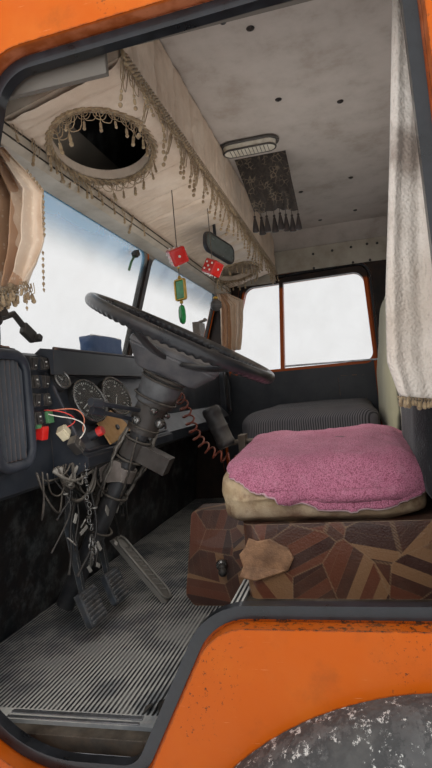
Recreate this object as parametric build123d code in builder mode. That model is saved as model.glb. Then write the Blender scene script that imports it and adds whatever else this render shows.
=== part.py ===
# Tilting cab of an old cab-over lorry, decorated inside, lifted off its chassis.
# Millimetres. +X is the driver's side, -Y the front, +Z up.
# The origin is the middle of the front hinge that the cab tilts on.

import math
import os

from build123d import *

os.makedirs("parts", exist_ok=True)

# Driving sizes of the shell
HALF_WIDTH = 1200          # middle to the outer skin of a side
SIDE_WALL = 60             # whole thickness of a side frame
SILL_BOTTOM = 230          # lowest edge of the shell
WAIST = 980                # bottom of the windscreen frame
GUTTER = 1690              # where sides and roof meet
ROOF_RISE = 210            # roof above the gutter
REAR_FACE = 1420           # outer face of the rear wall
PANEL = 30                 # whole thickness of front, rear and floor panels
SCREEN_RAKE = 0.33         # windscreen: run back for each unit of rise
FRONT_RAKE = 0.12          # front panel below it
HEADER_Y = 25              # windscreen plane at the header rail
HEADER_Z = GUTTER - 189
ARCH_RADIUS = 567          # wheel opening in the side
ARCH_Y = 920
ARCH_Z = -120

# Doorway and doors
DOOR_CORNERS = (
    # along Y, along Z, corner radius
    (-10, 262, 250),
    (-10, 850, 300),
    (196, GUTTER - 108, 90),
    (938, GUTTER - 86, 80),
    (962, 551, 80),
    (522, 551, 110),
    (367, 262, 60),
)
REBATE_GROWTH = 14         # the step that the door closes into
REBATE_DEPTH = 34
DOOR_GAP = 6               # round the closed door
SEAL_WIDTH = 14
SEAL_LIP = 8               # of the seal, over the step
DOOR_SKIN_DEPTH = 26
DOOR_INNER_DEPTH = 29
DOOR_CLEARANCE = 22        # inner part of the door inside the doorway
HINGE_X = HALF_WIDTH + 17             # outboard of the skin
HINGE_Y = -22
PIN_RADIUS = 6
KNUCKLE_RADIUS = 12
DOOR_OPEN = 78             # degrees, how the driver's door stands

# Hinge that the cab tilts on
LUG_SPREAD = 400           # middle of each lug from the middle of the cab
LUG_THICK = 24
TILT_BORE = 30
LUG_RADIUS = 45

# Floor and seats
FLOOR_TOP = 300
MAT_THICK = 8
DECK_TOP = 480             # raised floor over the wheels
STEP_Y = 430               # where the floor starts to climb
BASE_HIGH = 160            # seat bases over the deck
FIT = 0.3                  # between soft or curved pieces that seat
RUNNING = 0.05             # a shaft in its bore

# Steering
WHEEL_X = 680
WHEEL_RADIUS = 255
WHEEL_CENTRE_Y = 362
WHEEL_CENTRE_Z = WAIST + 106
WHEEL_TILT = 30            # degrees, rim plane from level
RIM_RADIUS = 17

half_inner = HALF_WIDTH - SIDE_WALL


def screen_y(z):
    """Outer face of the windscreen frame at a height."""
    return HEADER_Y - SCREEN_RAKE * (HEADER_Z - z)


def front_y(z):
    """Outer face of the front panel at a height below the waist."""
    return screen_y(WAIST) - FRONT_RAKE * (WAIST - z)


def doorway(grow):
    """Outline of the doorway, grown by an amount."""
    with BuildSketch() as outline:
        with BuildLine():
            points = [(y, z) for y, z, radius in DOOR_CORNERS]
            radii = [radius for y, z, radius in DOOR_CORNERS]
            FilletPolyline(*points, radius=radii, close=True)
        make_face()
        if grow:
            offset(amount=grow)
    return outline.sketch


def write(part, name):
    """Labels a finished piece and writes it."""
    part.label = name
    export_step(part, f"parts/{name}.step")


# Side frames, with the doorway, its rebate and the wheel opening
side_profile = (
    (front_y(SILL_BOTTOM), SILL_BOTTOM),
    (screen_y(WAIST), WAIST),
    (screen_y(GUTTER), GUTTER),
    (REAR_FACE, GUTTER),
    (REAR_FACE, SILL_BOTTOM),
)
with BuildPart() as side_frame_left:
    with BuildSketch(Plane.YZ.offset(half_inner)):
        with BuildLine():
            Polyline(*side_profile, close=True)
        make_face()
    extrude(amount=SIDE_WALL)
    with BuildSketch(Plane.YZ.offset(half_inner)):
        add(doorway(0))
    extrude(amount=SIDE_WALL, mode=Mode.SUBTRACT)
    with BuildSketch(Plane.YZ.offset(HALF_WIDTH - REBATE_DEPTH)):
        add(doorway(REBATE_GROWTH))
    extrude(amount=REBATE_DEPTH, mode=Mode.SUBTRACT)
    with BuildSketch(Plane.YZ.offset(half_inner)):
        with Locations((ARCH_Y, ARCH_Z)):
            Circle(ARCH_RADIUS)
    extrude(amount=SIDE_WALL, mode=Mode.SUBTRACT)
write(side_frame_left.part, "side_frame_left")

with BuildPart() as side_frame_right:
    mirror(side_frame_left.part, about=Plane.YZ)
write(side_frame_right.part, "side_frame_right")

# Front panel below the windscreen, with a pocket for its lid
front_plane = Plane(
    origin=(0, screen_y(WAIST), WAIST),
    x_dir=(1, 0, 0),
    z_dir=(0, -1, FRONT_RAKE),
)
front_wall = PANEL * math.hypot(1, FRONT_RAKE)
LID_HALF_WIDTH = 760
LID_TOP = -60              # below the waist, along the panel
LID_HEIGHT = 400
LID_GAP = 6
LID_THICK = 22
LID_POCKET = LID_THICK + 5
with BuildPart() as front_panel:
    with BuildSketch(Plane.YZ.offset(-half_inner)):
        with BuildLine():
            Polyline(
                (front_y(SILL_BOTTOM), SILL_BOTTOM),
                (front_y(WAIST), WAIST),
                (front_y(WAIST) + front_wall, WAIST),
                (front_y(SILL_BOTTOM) + front_wall, SILL_BOTTOM),
                close=True,
            )
        make_face()
    extrude(amount=2 * half_inner)
    with BuildSketch(front_plane):
        with Locations((0, LID_TOP - LID_HEIGHT / 2)):
            RectangleRounded(2 * LID_HALF_WIDTH, LID_HEIGHT, 40)
    extrude(amount=-LID_POCKET, mode=Mode.SUBTRACT)
write(front_panel.part, "front_panel")

# Hinge of the lid, along its top edge and clear of the skin
LID_HINGE_X = (-480, 480)
LID_PIN_OUT = 14
LID_PIN_RADIUS = 4
LID_KNUCKLE = 40
LID_EAR = 12
LID_EAR_GAP = 1
LID_KNUCKLE_RADIUS = 9
LID_LEAF = (44, 8)         # length, thickness
lid_pin_height = LID_TOP - LID_GAP / 2


def lid_pin_plane(x):
    """Plane across the lid's pin: local X up the panel, local Y outward."""
    start = front_plane.offset(LID_PIN_OUT).from_local_coords(
        Vector(x, lid_pin_height, 0)
    )
    return Plane(start, x_dir=front_plane.y_dir, z_dir=front_plane.x_dir)


def lid_leaf(direction):
    """Section of a knuckle and its leaf, up the panel or down the lid."""
    with BuildSketch() as section:
        Circle(LID_KNUCKLE_RADIUS)
        with Locations((direction * LID_LEAF[0] / 2, LID_LEAF[1] / 2 - LID_PIN_OUT)):
            Rectangle(*LID_LEAF)
        if direction < 0:
            Circle(LID_PIN_RADIUS + RUNNING, mode=Mode.SUBTRACT)
    return section.sketch


with BuildPart() as lid_hinge_ears:
    for middle in LID_HINGE_X:
        first = middle - LID_KNUCKLE / 2 - LID_EAR_GAP - LID_EAR
        second = middle + LID_KNUCKLE / 2 + LID_EAR_GAP
        for start in (first, second):
            with BuildSketch(lid_pin_plane(start)):
                add(lid_leaf(1))
            extrude(amount=LID_EAR)
        with BuildSketch(lid_pin_plane(first)):
            Circle(LID_PIN_RADIUS)
        extrude(amount=second + LID_EAR - first)
write(lid_hinge_ears.part, "lid_hinge_ears")

# Lid over the heater, lifting on its top edge
SLOTS = 5
SLOT_PITCH = 44
with BuildPart() as access_lid:
    with BuildSketch(front_plane.offset(-LID_THICK)):
        with Locations((0, LID_TOP - LID_HEIGHT / 2)):
            RectangleRounded(
                2 * (LID_HALF_WIDTH - LID_GAP), LID_HEIGHT - 2 * LID_GAP, 36
            )
    extrude(amount=LID_THICK)
    with BuildSketch(front_plane.offset(-LID_THICK)):
        with Locations((0, LID_TOP - LID_HEIGHT / 2 - 20)):
            with GridLocations(500, SLOT_PITCH, 2, SLOTS):
                SlotOverall(440, 20)
    extrude(amount=LID_THICK, mode=Mode.SUBTRACT)
    for middle in LID_HINGE_X:
        with BuildSketch(lid_pin_plane(middle - LID_KNUCKLE / 2)):
            add(lid_leaf(-1))
        extrude(amount=LID_KNUCKLE)
write(access_lid.part, "access_lid")

# Windscreen frame with its middle post
screen_plane = Plane(
    origin=(0, HEADER_Y, HEADER_Z),
    x_dir=(1, 0, 0),
    z_dir=(0, -1, SCREEN_RAKE),
)
screen_wall = PANEL * math.hypot(1, SCREEN_RAKE)
SCREEN_TOP = 30            # glass edges, along the frame from the header line
SCREEN_SILL = 48.6         # of the frame below the glass
SCREEN_BOTTOM = SCREEN_SILL - (HEADER_Z - WAIST) * math.hypot(1, SCREEN_RAKE)
POST_HALF = 16
SCREEN_SIDE = HALF_WIDTH - 100
SCREEN_SEAL = 16
GLASS = 6
screen_mid = (SCREEN_TOP + SCREEN_BOTTOM) / 2
screen_high = SCREEN_TOP - SCREEN_BOTTOM
screen_wide = SCREEN_SIDE - POST_HALF
screen_places = [
    (side * (POST_HALF + screen_wide / 2), screen_mid) for side in (-1, 1)
]
with BuildPart() as windscreen_frame:
    with BuildSketch(Plane.YZ.offset(-half_inner)):
        with BuildLine():
            Polyline(
                (screen_y(WAIST), WAIST),
                (screen_y(GUTTER), GUTTER),
                (screen_y(GUTTER) + screen_wall, GUTTER),
                (screen_y(WAIST) + screen_wall, WAIST),
                close=True,
            )
        make_face()
    extrude(amount=2 * half_inner)
    with BuildSketch(screen_plane.offset(2)):
        with Locations(*screen_places):
            RectangleRounded(screen_wide, screen_high, 60)
    extrude(amount=-PANEL * 2, mode=Mode.SUBTRACT)
write(windscreen_frame.part, "windscreen_frame")

# Rail along the top of the windscreen, inside
RAIL_BACK = 132
RAIL_HIGH = 44
with BuildPart() as header_rail:
    with BuildSketch(Plane.YZ.offset(-half_inner)):
        with BuildLine():
            Polyline(
                (screen_y(HEADER_Z) + screen_wall, HEADER_Z),
                (RAIL_BACK - 14, HEADER_Z),
                (RAIL_BACK, HEADER_Z + 12),
                (RAIL_BACK, HEADER_Z + RAIL_HIGH),
                (screen_y(HEADER_Z + RAIL_HIGH) + screen_wall, HEADER_Z + RAIL_HIGH),
                close=True,
            )
        make_face()
    extrude(amount=2 * half_inner)
write(header_rail.part, "header_rail")

with BuildPart() as windscreen_seals:
    with BuildSketch(screen_plane.offset(-PANEL + 6)):
        with Locations(*screen_places):
            RectangleRounded(screen_wide, screen_high, 60)
            RectangleRounded(
                screen_wide - 2 * SCREEN_SEAL,
                screen_high - 2 * SCREEN_SEAL,
                60 - SCREEN_SEAL,
                mode=Mode.SUBTRACT,
            )
    extrude(amount=PANEL - 12)
write(windscreen_seals.part, "windscreen_seals")

with BuildPart() as windscreen_glass:
    with BuildSketch(screen_plane.offset(-PANEL / 2 - GLASS / 2)):
        with Locations(*screen_places):
            RectangleRounded(
                screen_wide - 2 * SCREEN_SEAL,
                screen_high - 2 * SCREEN_SEAL,
                60 - SCREEN_SEAL,
            )
    extrude(amount=GLASS)
write(windscreen_glass.part, "windscreen_glass")

# Rear wall with its window
REAR_GLASS = (1100, 340)   # width, height
REAR_GLASS_Z = GUTTER - 290
with BuildPart() as rear_wall:
    with BuildSketch(Plane.XZ.offset(-REAR_FACE)):
        with Locations((0, (SILL_BOTTOM + GUTTER) / 2)):
            Rectangle(2 * half_inner, GUTTER - SILL_BOTTOM)
        with Locations((0, REAR_GLASS_Z)):
            RectangleRounded(*REAR_GLASS, 50, mode=Mode.SUBTRACT)
    extrude(amount=PANEL)
write(rear_wall.part, "rear_wall")

with BuildPart() as rear_glass:
    with BuildSketch(Plane.XZ.offset(-REAR_FACE + PANEL / 2)):
        with Locations((0, REAR_GLASS_Z)):
            RectangleRounded(*REAR_GLASS, 50)
    extrude(amount=GLASS)
write(rear_glass.part, "rear_glass")

# Roof, a crowned tray turned over
ROOF_SKIN = 24
ROOF_FRONT = screen_y(GUTTER)
roof_mid = (ROOF_FRONT + REAR_FACE) / 2
roof_long = REAR_FACE - ROOF_FRONT
with BuildPart() as roof_panel:
    with BuildSketch(Plane.XY.offset(GUTTER)):
        with Locations((0, roof_mid)):
            RectangleRounded(2 * HALF_WIDTH, roof_long, 60)
    extrude(amount=ROOF_RISE, taper=9)
    fillet(roof_panel.faces().sort_by(Axis.Z)[-1].edges(), 110)
    with BuildSketch(Plane.XY.offset(GUTTER)):
        with Locations((0, roof_mid)):
            RectangleRounded(
                2 * (HALF_WIDTH - ROOF_SKIN), roof_long - 2 * ROOF_SKIN, 40
            )
    extrude(amount=ROOF_RISE - ROOF_SKIN, taper=11, mode=Mode.SUBTRACT)
write(roof_panel.part, "roof_panel")

# Floor, climbing over the wheels
with BuildPart() as floor_pan:
    with BuildSketch(Plane.YZ.offset(-half_inner)):
        with BuildLine():
            Polyline(
                (front_y(FLOOR_TOP - PANEL) + front_wall, FLOOR_TOP - PANEL),
                (STEP_Y + 20, FLOOR_TOP - PANEL),
                (STEP_Y + 100, DECK_TOP - PANEL),
                (REAR_FACE - PANEL, DECK_TOP - PANEL),
                (REAR_FACE - PANEL, DECK_TOP),
                (STEP_Y + 80, DECK_TOP),
                (STEP_Y, FLOOR_TOP),
                (front_y(FLOOR_TOP) + front_wall, FLOOR_TOP),
                close=True,
            )
        make_face()
    extrude(amount=2 * half_inner)
write(floor_pan.part, "floor_pan")

# Engine cover between the seats
COVER_X = (-90, 385)
COVER_Y = (540, REAR_FACE - PANEL)
COVER_HIGH = 200
with BuildPart() as engine_cover:
    with BuildSketch(Plane.XY.offset(DECK_TOP)):
        with Locations(
            ((COVER_X[0] + COVER_X[1]) / 2, (COVER_Y[0] + COVER_Y[1]) / 2)
        ):
            Rectangle(COVER_X[1] - COVER_X[0], COVER_Y[1] - COVER_Y[0])
    extrude(amount=COVER_HIGH)
    fillet(engine_cover.faces().sort_by(Axis.Z)[-1].edges().sort_by(Axis.Y)[0], 60)
    chamfer(engine_cover.edges().filter_by(Axis.Y).group_by(Axis.Z)[-1], 18)
write(engine_cover.part, "engine_cover")

# Brackets that carry the tilt hinge
BRACKET_TOP = FLOOR_TOP - PANEL
BRACKET_BACK = 150
with BuildPart() as tilt_brackets:
    for side in (-1, 1):
        lug_start = side * LUG_SPREAD - LUG_THICK / 2
        with BuildSketch(Plane.YZ.offset(lug_start)):
            with BuildLine():
                Polyline(
                    (-LUG_RADIUS, 0),
                    (-LUG_RADIUS - 30, BRACKET_TOP),
                    (BRACKET_BACK, BRACKET_TOP),
                    (LUG_RADIUS, 0),
                    close=True,
                )
            make_face()
            Circle(LUG_RADIUS)
            Circle(TILT_BORE / 2, mode=Mode.SUBTRACT)
        extrude(amount=LUG_THICK)
write(tilt_brackets.part, "tilt_brackets")

# Headliner and the trim over the doors
LINER_EDGE = GUTTER + 30
CEILING = GUTTER + 110
LINER_FRONT = 410
with BuildPart() as headliner:
    with BuildSketch(Plane.XZ.offset(-REAR_FACE + PANEL + 40)):
        with BuildLine():
            Polyline(
                (-half_inner + 2, LINER_EDGE),
                (-half_inner + 120, CEILING),
                (half_inner - 120, CEILING),
                (half_inner - 2, LINER_EDGE),
                (half_inner - 2, LINER_EDGE + 10),
                (half_inner - 120, CEILING + 10),
                (-half_inner + 120, CEILING + 10),
                (-half_inner + 2, LINER_EDGE + 10),
                close=True,
            )
        make_face()
    extrude(amount=REAR_FACE - PANEL - 40 - LINER_FRONT)
write(headliner.part, "headliner")

TRIM_THICK = 12
TRIM_BOTTOM = GUTTER - 100
TRIM_DROP = HEADER_Z + RAIL_HIGH           # of its front stretch, beside the shelf
SHELF_BACK = 402
with BuildPart() as header_trim:
    with BuildSketch(Plane.YZ.offset(half_inner - TRIM_THICK)):
        with BuildLine():
            Polyline(
                (175, TRIM_DROP),
                (SHELF_BACK, TRIM_DROP),
                (SHELF_BACK, TRIM_BOTTOM),
                (1380, TRIM_BOTTOM),
                (1380, LINER_EDGE),
                (230, LINER_EDGE),
                close=True,
            )
        make_face()
    extrude(amount=TRIM_THICK)
with BuildPart() as header_trims:
    add(header_trim.part)
    mirror(header_trim.part, about=Plane.YZ)
write(header_trims.part, "header_trims")

# Padded shelf over the windscreen, with an oval hole before each seat
SHELF_REAR_BOTTOM = HEADER_Z + 109
SHELF_FRONT_BOTTOM = HEADER_Z + RAIL_HIGH
SHELF_WALL = 24
SHELF_HALF = half_inner - 65
SHELF_END = 20
SHELF_TOP = CEILING - FIT
HOLE_X = 810
HOLE_Y = RAIL_BACK + 110
HOLE_SIZE = (185, 106)     # half axes, across and along the cab
shelf_front = screen_y(SHELF_FRONT_BOTTOM) + screen_wall + 1
shelf_section = (
    (shelf_front, SHELF_FRONT_BOTTOM),
    (RAIL_BACK, SHELF_FRONT_BOTTOM),
    (SHELF_BACK, SHELF_REAR_BOTTOM),
    (LINER_FRONT - FIT, SHELF_TOP),
)
hollow_bottom = SHELF_FRONT_BOTTOM + SHELF_WALL
shelf_hollow = (
    (screen_y(hollow_bottom) + screen_wall + 1, hollow_bottom),
    (RAIL_BACK, hollow_bottom),
    (SHELF_BACK - SHELF_WALL, SHELF_REAR_BOTTOM + SHELF_WALL),
    (LINER_FRONT - FIT - SHELF_WALL, SHELF_TOP),
)
shelf_top_front = (screen_y(GUTTER) + screen_wall + 45, SHELF_TOP)
with BuildPart() as overhead_shelf:
    with BuildSketch(Plane.YZ.offset(-SHELF_HALF)):
        with BuildLine():
            Polyline(*shelf_section, *reversed(shelf_hollow), close=True)
        make_face()
    extrude(amount=2 * SHELF_HALF)
    for start in (-SHELF_HALF, SHELF_HALF - SHELF_END):
        with BuildSketch(Plane.YZ.offset(start)):
            with BuildLine():
                Polyline(*shelf_section, shelf_top_front, close=True)
            make_face()
        extrude(amount=SHELF_END)
    with BuildSketch(Plane.XY.offset(SHELF_FRONT_BOTTOM - SHELF_WALL)):
        with Locations(*[(side * HOLE_X, HOLE_Y) for side in (-1, 1)]):
            Ellipse(*HOLE_SIZE)
    extrude(amount=SHELF_REAR_BOTTOM - SHELF_FRONT_BOTTOM + 3 * SHELF_WALL, mode=Mode.SUBTRACT)
write(overhead_shelf.part, "overhead_shelf")

# Dashboard: a full-width body, the driver's tilted instrument face and its hood
DASH_HALF = half_inner - 20
DASH_FACE = 50             # upright face of the body
DASH_TOP = WAIST + 88
DASH_BOTTOM = WAIST - 240
HOOD_Z = WAIST + 101
HOOD_Y = 82
HOOD_X = (200, 860)
CLUSTER_X = (200, 850)
CLUSTER_TILT = 0.4         # run back for each unit of drop
CLUSTER_TOP = WAIST + 40
CLUSTER_FOOT = WAIST - 174
LIP = 12
SHELF_LIP = (102, WAIST - 180)     # lip in front of the passengers
LIP_START = 180 - DASH_HALF
cluster_foot_y = DASH_FACE + CLUSTER_TILT * (CLUSTER_TOP - CLUSTER_FOOT)
dash_sections = (
    # low X, high X, points along Y and Z
    (-DASH_HALF, DASH_HALF, (
        (screen_y(WAIST + 20) + screen_wall, WAIST + 20),
        (DASH_FACE - 14, DASH_TOP),
        (DASH_FACE, DASH_TOP - 8),
        (DASH_FACE, DASH_BOTTOM + 8),
        (DASH_FACE - 10, DASH_BOTTOM),
        (front_y(WAIST - 120) + front_wall, WAIST - 120),
        (front_y(WAIST) + front_wall, WAIST),
        (screen_y(WAIST) + screen_wall, WAIST),
    )),
    (LIP_START, CLUSTER_X[0], (
        (DASH_FACE - 5, WAIST - 110),
        (DASH_FACE + 2, WAIST - 120),
        SHELF_LIP,
        (SHELF_LIP[0] - 10, SHELF_LIP[1] - 40),
        (DASH_FACE - 5, DASH_BOTTOM + 14),
    )),
    (CLUSTER_X[0], CLUSTER_X[1], (
        (DASH_FACE - 5, CLUSTER_TOP + 4),
        (DASH_FACE, CLUSTER_TOP),
        (cluster_foot_y, CLUSTER_FOOT),
        (cluster_foot_y + LIP, CLUSTER_FOOT - 6),
        (cluster_foot_y + LIP, CLUSTER_FOOT - 30),
        (cluster_foot_y - 30, CLUSTER_FOOT - 52),
        (DASH_FACE - 5, DASH_BOTTOM + 10),
    )),
    (HOOD_X[0], HOOD_X[1], (
        (DASH_FACE - 74, DASH_TOP - 34),
        (HOOD_Y - 36, HOOD_Z),
        (HOOD_Y, HOOD_Z - 6),
        (HOOD_Y - 2, HOOD_Z - 68),
        (HOOD_Y - 12, HOOD_Z - 68),
        (HOOD_Y - 16, HOOD_Z - 26),
        (DASH_FACE - 10, HOOD_Z - 32),
    )),
)
with BuildPart() as dashboard:
    for low, high, points in dash_sections:
        with BuildSketch(Plane.YZ.offset(low)):
            with BuildLine():
                Polyline(*points, close=True)
            make_face()
        extrude(amount=high - low)
write(dashboard.part, "dashboard")

# Instruments and switches on the dashboard
cluster_plane = Plane(
    origin=(0, DASH_FACE, CLUSTER_TOP),
    x_dir=(1, 0, 0),
    z_dir=(0, 1, CLUSTER_TILT),
)
face_plane = Plane(origin=(0, DASH_FACE, 0), x_dir=(1, 0, 0), z_dir=(0, 1, 0))
cluster_slope = math.hypot(1, CLUSTER_TILT)
DIALS = (
    # X, height, radius
    (745, CLUSTER_TOP - 90, 58),
    (566, CLUSTER_TOP - 82, 58),
)
GAUGE = (826, CLUSTER_TOP - 28, 24)
KNOBS = (
    # X, height, radius, reach
    (777, CLUSTER_FOOT + 41, 13, 30),
    (640, CLUSTER_FOOT + 46, 11, 24),
    (400, CLUSTER_FOOT + 94, 12, 26),
    (330, CLUSTER_FOOT + 94, 12, 26),
)
SWITCH_X = (877, 923)
SWITCH_Z = (DASH_TOP - 28, DASH_TOP - 72, DASH_TOP - 116, DASH_TOP - 160)
SWITCH_SIZE = (30, 34)
SWITCH_OUT = 12
DIAL_OUT = 12
BEZEL = 6
with BuildPart() as dash_controls:
    for x, z, radius in (*DIALS, GAUGE):
        along = (z - CLUSTER_TOP) * cluster_slope
        with BuildSketch(cluster_plane):
            with Locations((x, -along)):
                Circle(radius)
        extrude(amount=DIAL_OUT)
        with BuildSketch(cluster_plane.offset(DIAL_OUT)):
            with Locations((x, -along)):
                Circle(radius - BEZEL)
        extrude(amount=-4, mode=Mode.SUBTRACT)
    for x, z, radius, reach in KNOBS:
        along = (z - CLUSTER_TOP) * cluster_slope
        with BuildSketch(cluster_plane):
            with Locations((x, -along)):
                RegularPolygon(radius, 10)
        extrude(amount=reach, taper=8)
    with BuildSketch(face_plane):
        with Locations(*[(x, -z) for x in SWITCH_X for z in SWITCH_Z]):
            Rectangle(*SWITCH_SIZE)
    extrude(amount=SWITCH_OUT, taper=10)
write(dash_controls.part, "dash_controls")

# Air vents at the ends of the dashboard, each a frame with upright slats
VENT_X = (DASH_HALF - 154, DASH_HALF - 4)
VENT_Z = (WAIST - 182, WAIST + 86)
VENT_OUT = 26
VENT_FRAME = 18
SLATS = 7
SLAT_THICK = 5
vent_wide = VENT_X[1] - VENT_X[0]
vent_high = VENT_Z[1] - VENT_Z[0]
vent_middle = (sum(VENT_X) / 2, -sum(VENT_Z) / 2)
with BuildPart() as vent_grille:
    with BuildSketch(face_plane):
        with Locations(vent_middle):
            RectangleRounded(vent_wide, vent_high, 52)
            RectangleRounded(
                vent_wide - 2 * VENT_FRAME,
                vent_high - 2 * VENT_FRAME,
                52 - VENT_FRAME,
                mode=Mode.SUBTRACT,
            )
    extrude(amount=VENT_OUT)
    with BuildSketch(face_plane):
        with Locations(vent_middle):
            with GridLocations((vent_wide - 2 * VENT_FRAME) / SLATS, 1, SLATS, 1):
                Rectangle(SLAT_THICK, vent_high - VENT_FRAME - 18)
    extrude(amount=VENT_OUT - 10)
with BuildPart() as vent_grilles:
    add(vent_grille.part)
    mirror(vent_grille.part, about=Plane.YZ)
write(vent_grilles.part, "vent_grilles")

# Route of the lever's coiled hose, which starts on the column
HOSE_OUTER = 34
HOSE_ROUTE = (
    (600, 290, 945),
    (564, 290, 945),
    (520, 295, 918),
    (492, 302, 870),
    (465, 308, 817),
    (437, 325, 771),
    (413, 358, 737),
    (404, 397, 722),
    (404, 433, 722),
)
hose_radii = []
for before, corner, after in zip(HOSE_ROUTE, HOSE_ROUTE[1:], HOSE_ROUTE[2:]):
    arriving = Vector(corner) - Vector(before)
    leaving = Vector(after) - Vector(corner)
    turn = math.radians(arriving.get_angle(leaving))
    shorter = min(arriving.length, leaving.length)
    hose_radii.append(0.45 * shorter / math.tan(turn / 2))

# Steering column with a bore for the wheel's shaft
tilt = math.radians(WHEEL_TILT)
wheel_centre = Vector(WHEEL_X, WHEEL_CENTRE_Y, WHEEL_CENTRE_Z)
wheel_plane = Plane(
    origin=wheel_centre,
    x_dir=(1, 0, 0),
    z_dir=(0, math.sin(tilt), math.cos(tilt)),
)
COLUMN_RADIUS = 26
COLUMN_TOP = -128          # along the column from the rim's plane
COLUMN_FOOT = FLOOR_TOP + 69
COLUMN_LONG = (WHEEL_CENTRE_Z - COLUMN_FOOT) / math.cos(tilt) + COLUMN_TOP
SHAFT_RADIUS = 9
SHAFT_REACH = 40
with BuildPart() as steering_column:
    with BuildSketch(wheel_plane.offset(COLUMN_TOP)):
        Circle(COLUMN_RADIUS)
    extrude(amount=-COLUMN_LONG)
    with BuildSketch(wheel_plane.offset(COLUMN_TOP)):
        Circle(SHAFT_RADIUS + RUNNING)
    extrude(amount=-SHAFT_REACH - 5, mode=Mode.SUBTRACT)
write(steering_column.part, "steering_column")

SHROUD_RADIUS = 58
SHROUD_LONG = 66
SHROUD_TAPER = 5
SWITCH_RADIUS = 42         # housing of the stalks, below the shroud
SWITCH_LONG = 84
LOCK_DOWN = 330            # middle of the ignition lock, along the column
LOCK_LONG = 112
with BuildPart() as column_shroud:
    with BuildSketch(wheel_plane.offset(COLUMN_TOP)):
        Circle(SHROUD_RADIUS)
    extrude(amount=-SHROUD_LONG, taper=SHROUD_TAPER)
    with BuildSketch(wheel_plane.offset(COLUMN_TOP - SHROUD_LONG)):
        Circle(SWITCH_RADIUS)
    extrude(amount=-SWITCH_LONG)
    with BuildSketch(wheel_plane.offset(-LOCK_DOWN - 24)):
        Circle(COLUMN_RADIUS + 9)
        with Locations((0, LOCK_LONG / 2)):
            Rectangle(46, LOCK_LONG)
    extrude(amount=48)
    gland = Vector(*HOSE_ROUTE[0])
    with BuildSketch(Plane(gland, z_dir=(1, 0, 0))):
        Circle(HOSE_OUTER / 2 + 3)
    extrude(amount=WHEEL_X - HOSE_ROUTE[0][0] - SWITCH_RADIUS + 10)
    with BuildSketch(wheel_plane.offset(COLUMN_TOP)):
        Circle(COLUMN_RADIUS + 0.1)
    extrude(amount=-COLUMN_LONG, mode=Mode.SUBTRACT)
write(column_shroud.part, "column_shroud")

# Steering wheel: rim, four spokes and a padded hub that narrows downwards
HUB_TOP = -38              # from the rim's plane
HUB_HIGH = 74
HUB_SIZE = (160, 250)      # across, along
HUB_TAPER = 30
WHEEL_TURN = 20            # degrees, how the wheel was left standing
SPOKES = (-30, 30, 150, 210)
hub_plane = wheel_plane.rotated((0, 0, WHEEL_TURN))
hub_bottom = HUB_TOP - HUB_HIGH
rim_plane = Plane(wheel_centre, x_dir=wheel_plane.x_dir, z_dir=wheel_plane.y_dir)
with BuildPart() as steering_wheel:
    with BuildSketch(rim_plane):
        with Locations((WHEEL_RADIUS, 0)):
            RegularPolygon(RIM_RADIUS, 10)
    revolve(axis=Axis(wheel_centre, wheel_plane.z_dir))
    with BuildSketch(hub_plane.offset(HUB_TOP)):
        RectangleRounded(*HUB_SIZE, 24)
    extrude(amount=-HUB_HIGH, taper=HUB_TAPER)
    with BuildSketch(wheel_plane.offset(COLUMN_TOP - SHAFT_REACH)):
        Circle(SHAFT_RADIUS)
    extrude(amount=hub_bottom - COLUMN_TOP + SHAFT_REACH + 4)
    for turn in SPOKES:
        spoke_dir = wheel_plane.x_dir.rotate(
            Axis(wheel_centre, wheel_plane.z_dir), WHEEL_TURN + turn
        )
        spoke_start = wheel_centre + wheel_plane.z_dir * (HUB_TOP - 26)
        with BuildSketch(Plane(spoke_start + spoke_dir * 40, wheel_plane.z_dir, spoke_dir)):
            RectangleRounded(20, 44, 9)
        spoke_end = wheel_centre + spoke_dir * (WHEEL_RADIUS - 4)
        with BuildSketch(Plane(spoke_end, wheel_plane.z_dir, spoke_dir)):
            RectangleRounded(14, 28, 6)
        loft()
write(steering_wheel.part, "steering_wheel")

# Stalks on the switch housing
STALKS = (
    # drop below the column's top, turn towards the front, reach
    (92, 22, 140),
    (122, 32, 100),
)
with BuildPart() as stalks:
    for drop, turn, reach in STALKS:
        stalk_dir = wheel_plane.x_dir.rotate(
            Axis(wheel_centre, wheel_plane.z_dir), -turn
        )
        stalk_start = wheel_centre + wheel_plane.z_dir * (COLUMN_TOP - drop)
        stalk_plane = Plane(
            stalk_start + stalk_dir * (SWITCH_RADIUS + FIT), z_dir=stalk_dir
        )
        with BuildSketch(stalk_plane):
            Circle(6)
        extrude(amount=reach)
        with BuildSketch(stalk_plane.offset(reach)):
            Circle(11)
        extrude(amount=34)
write(stalks.part, "stalks")

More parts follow.
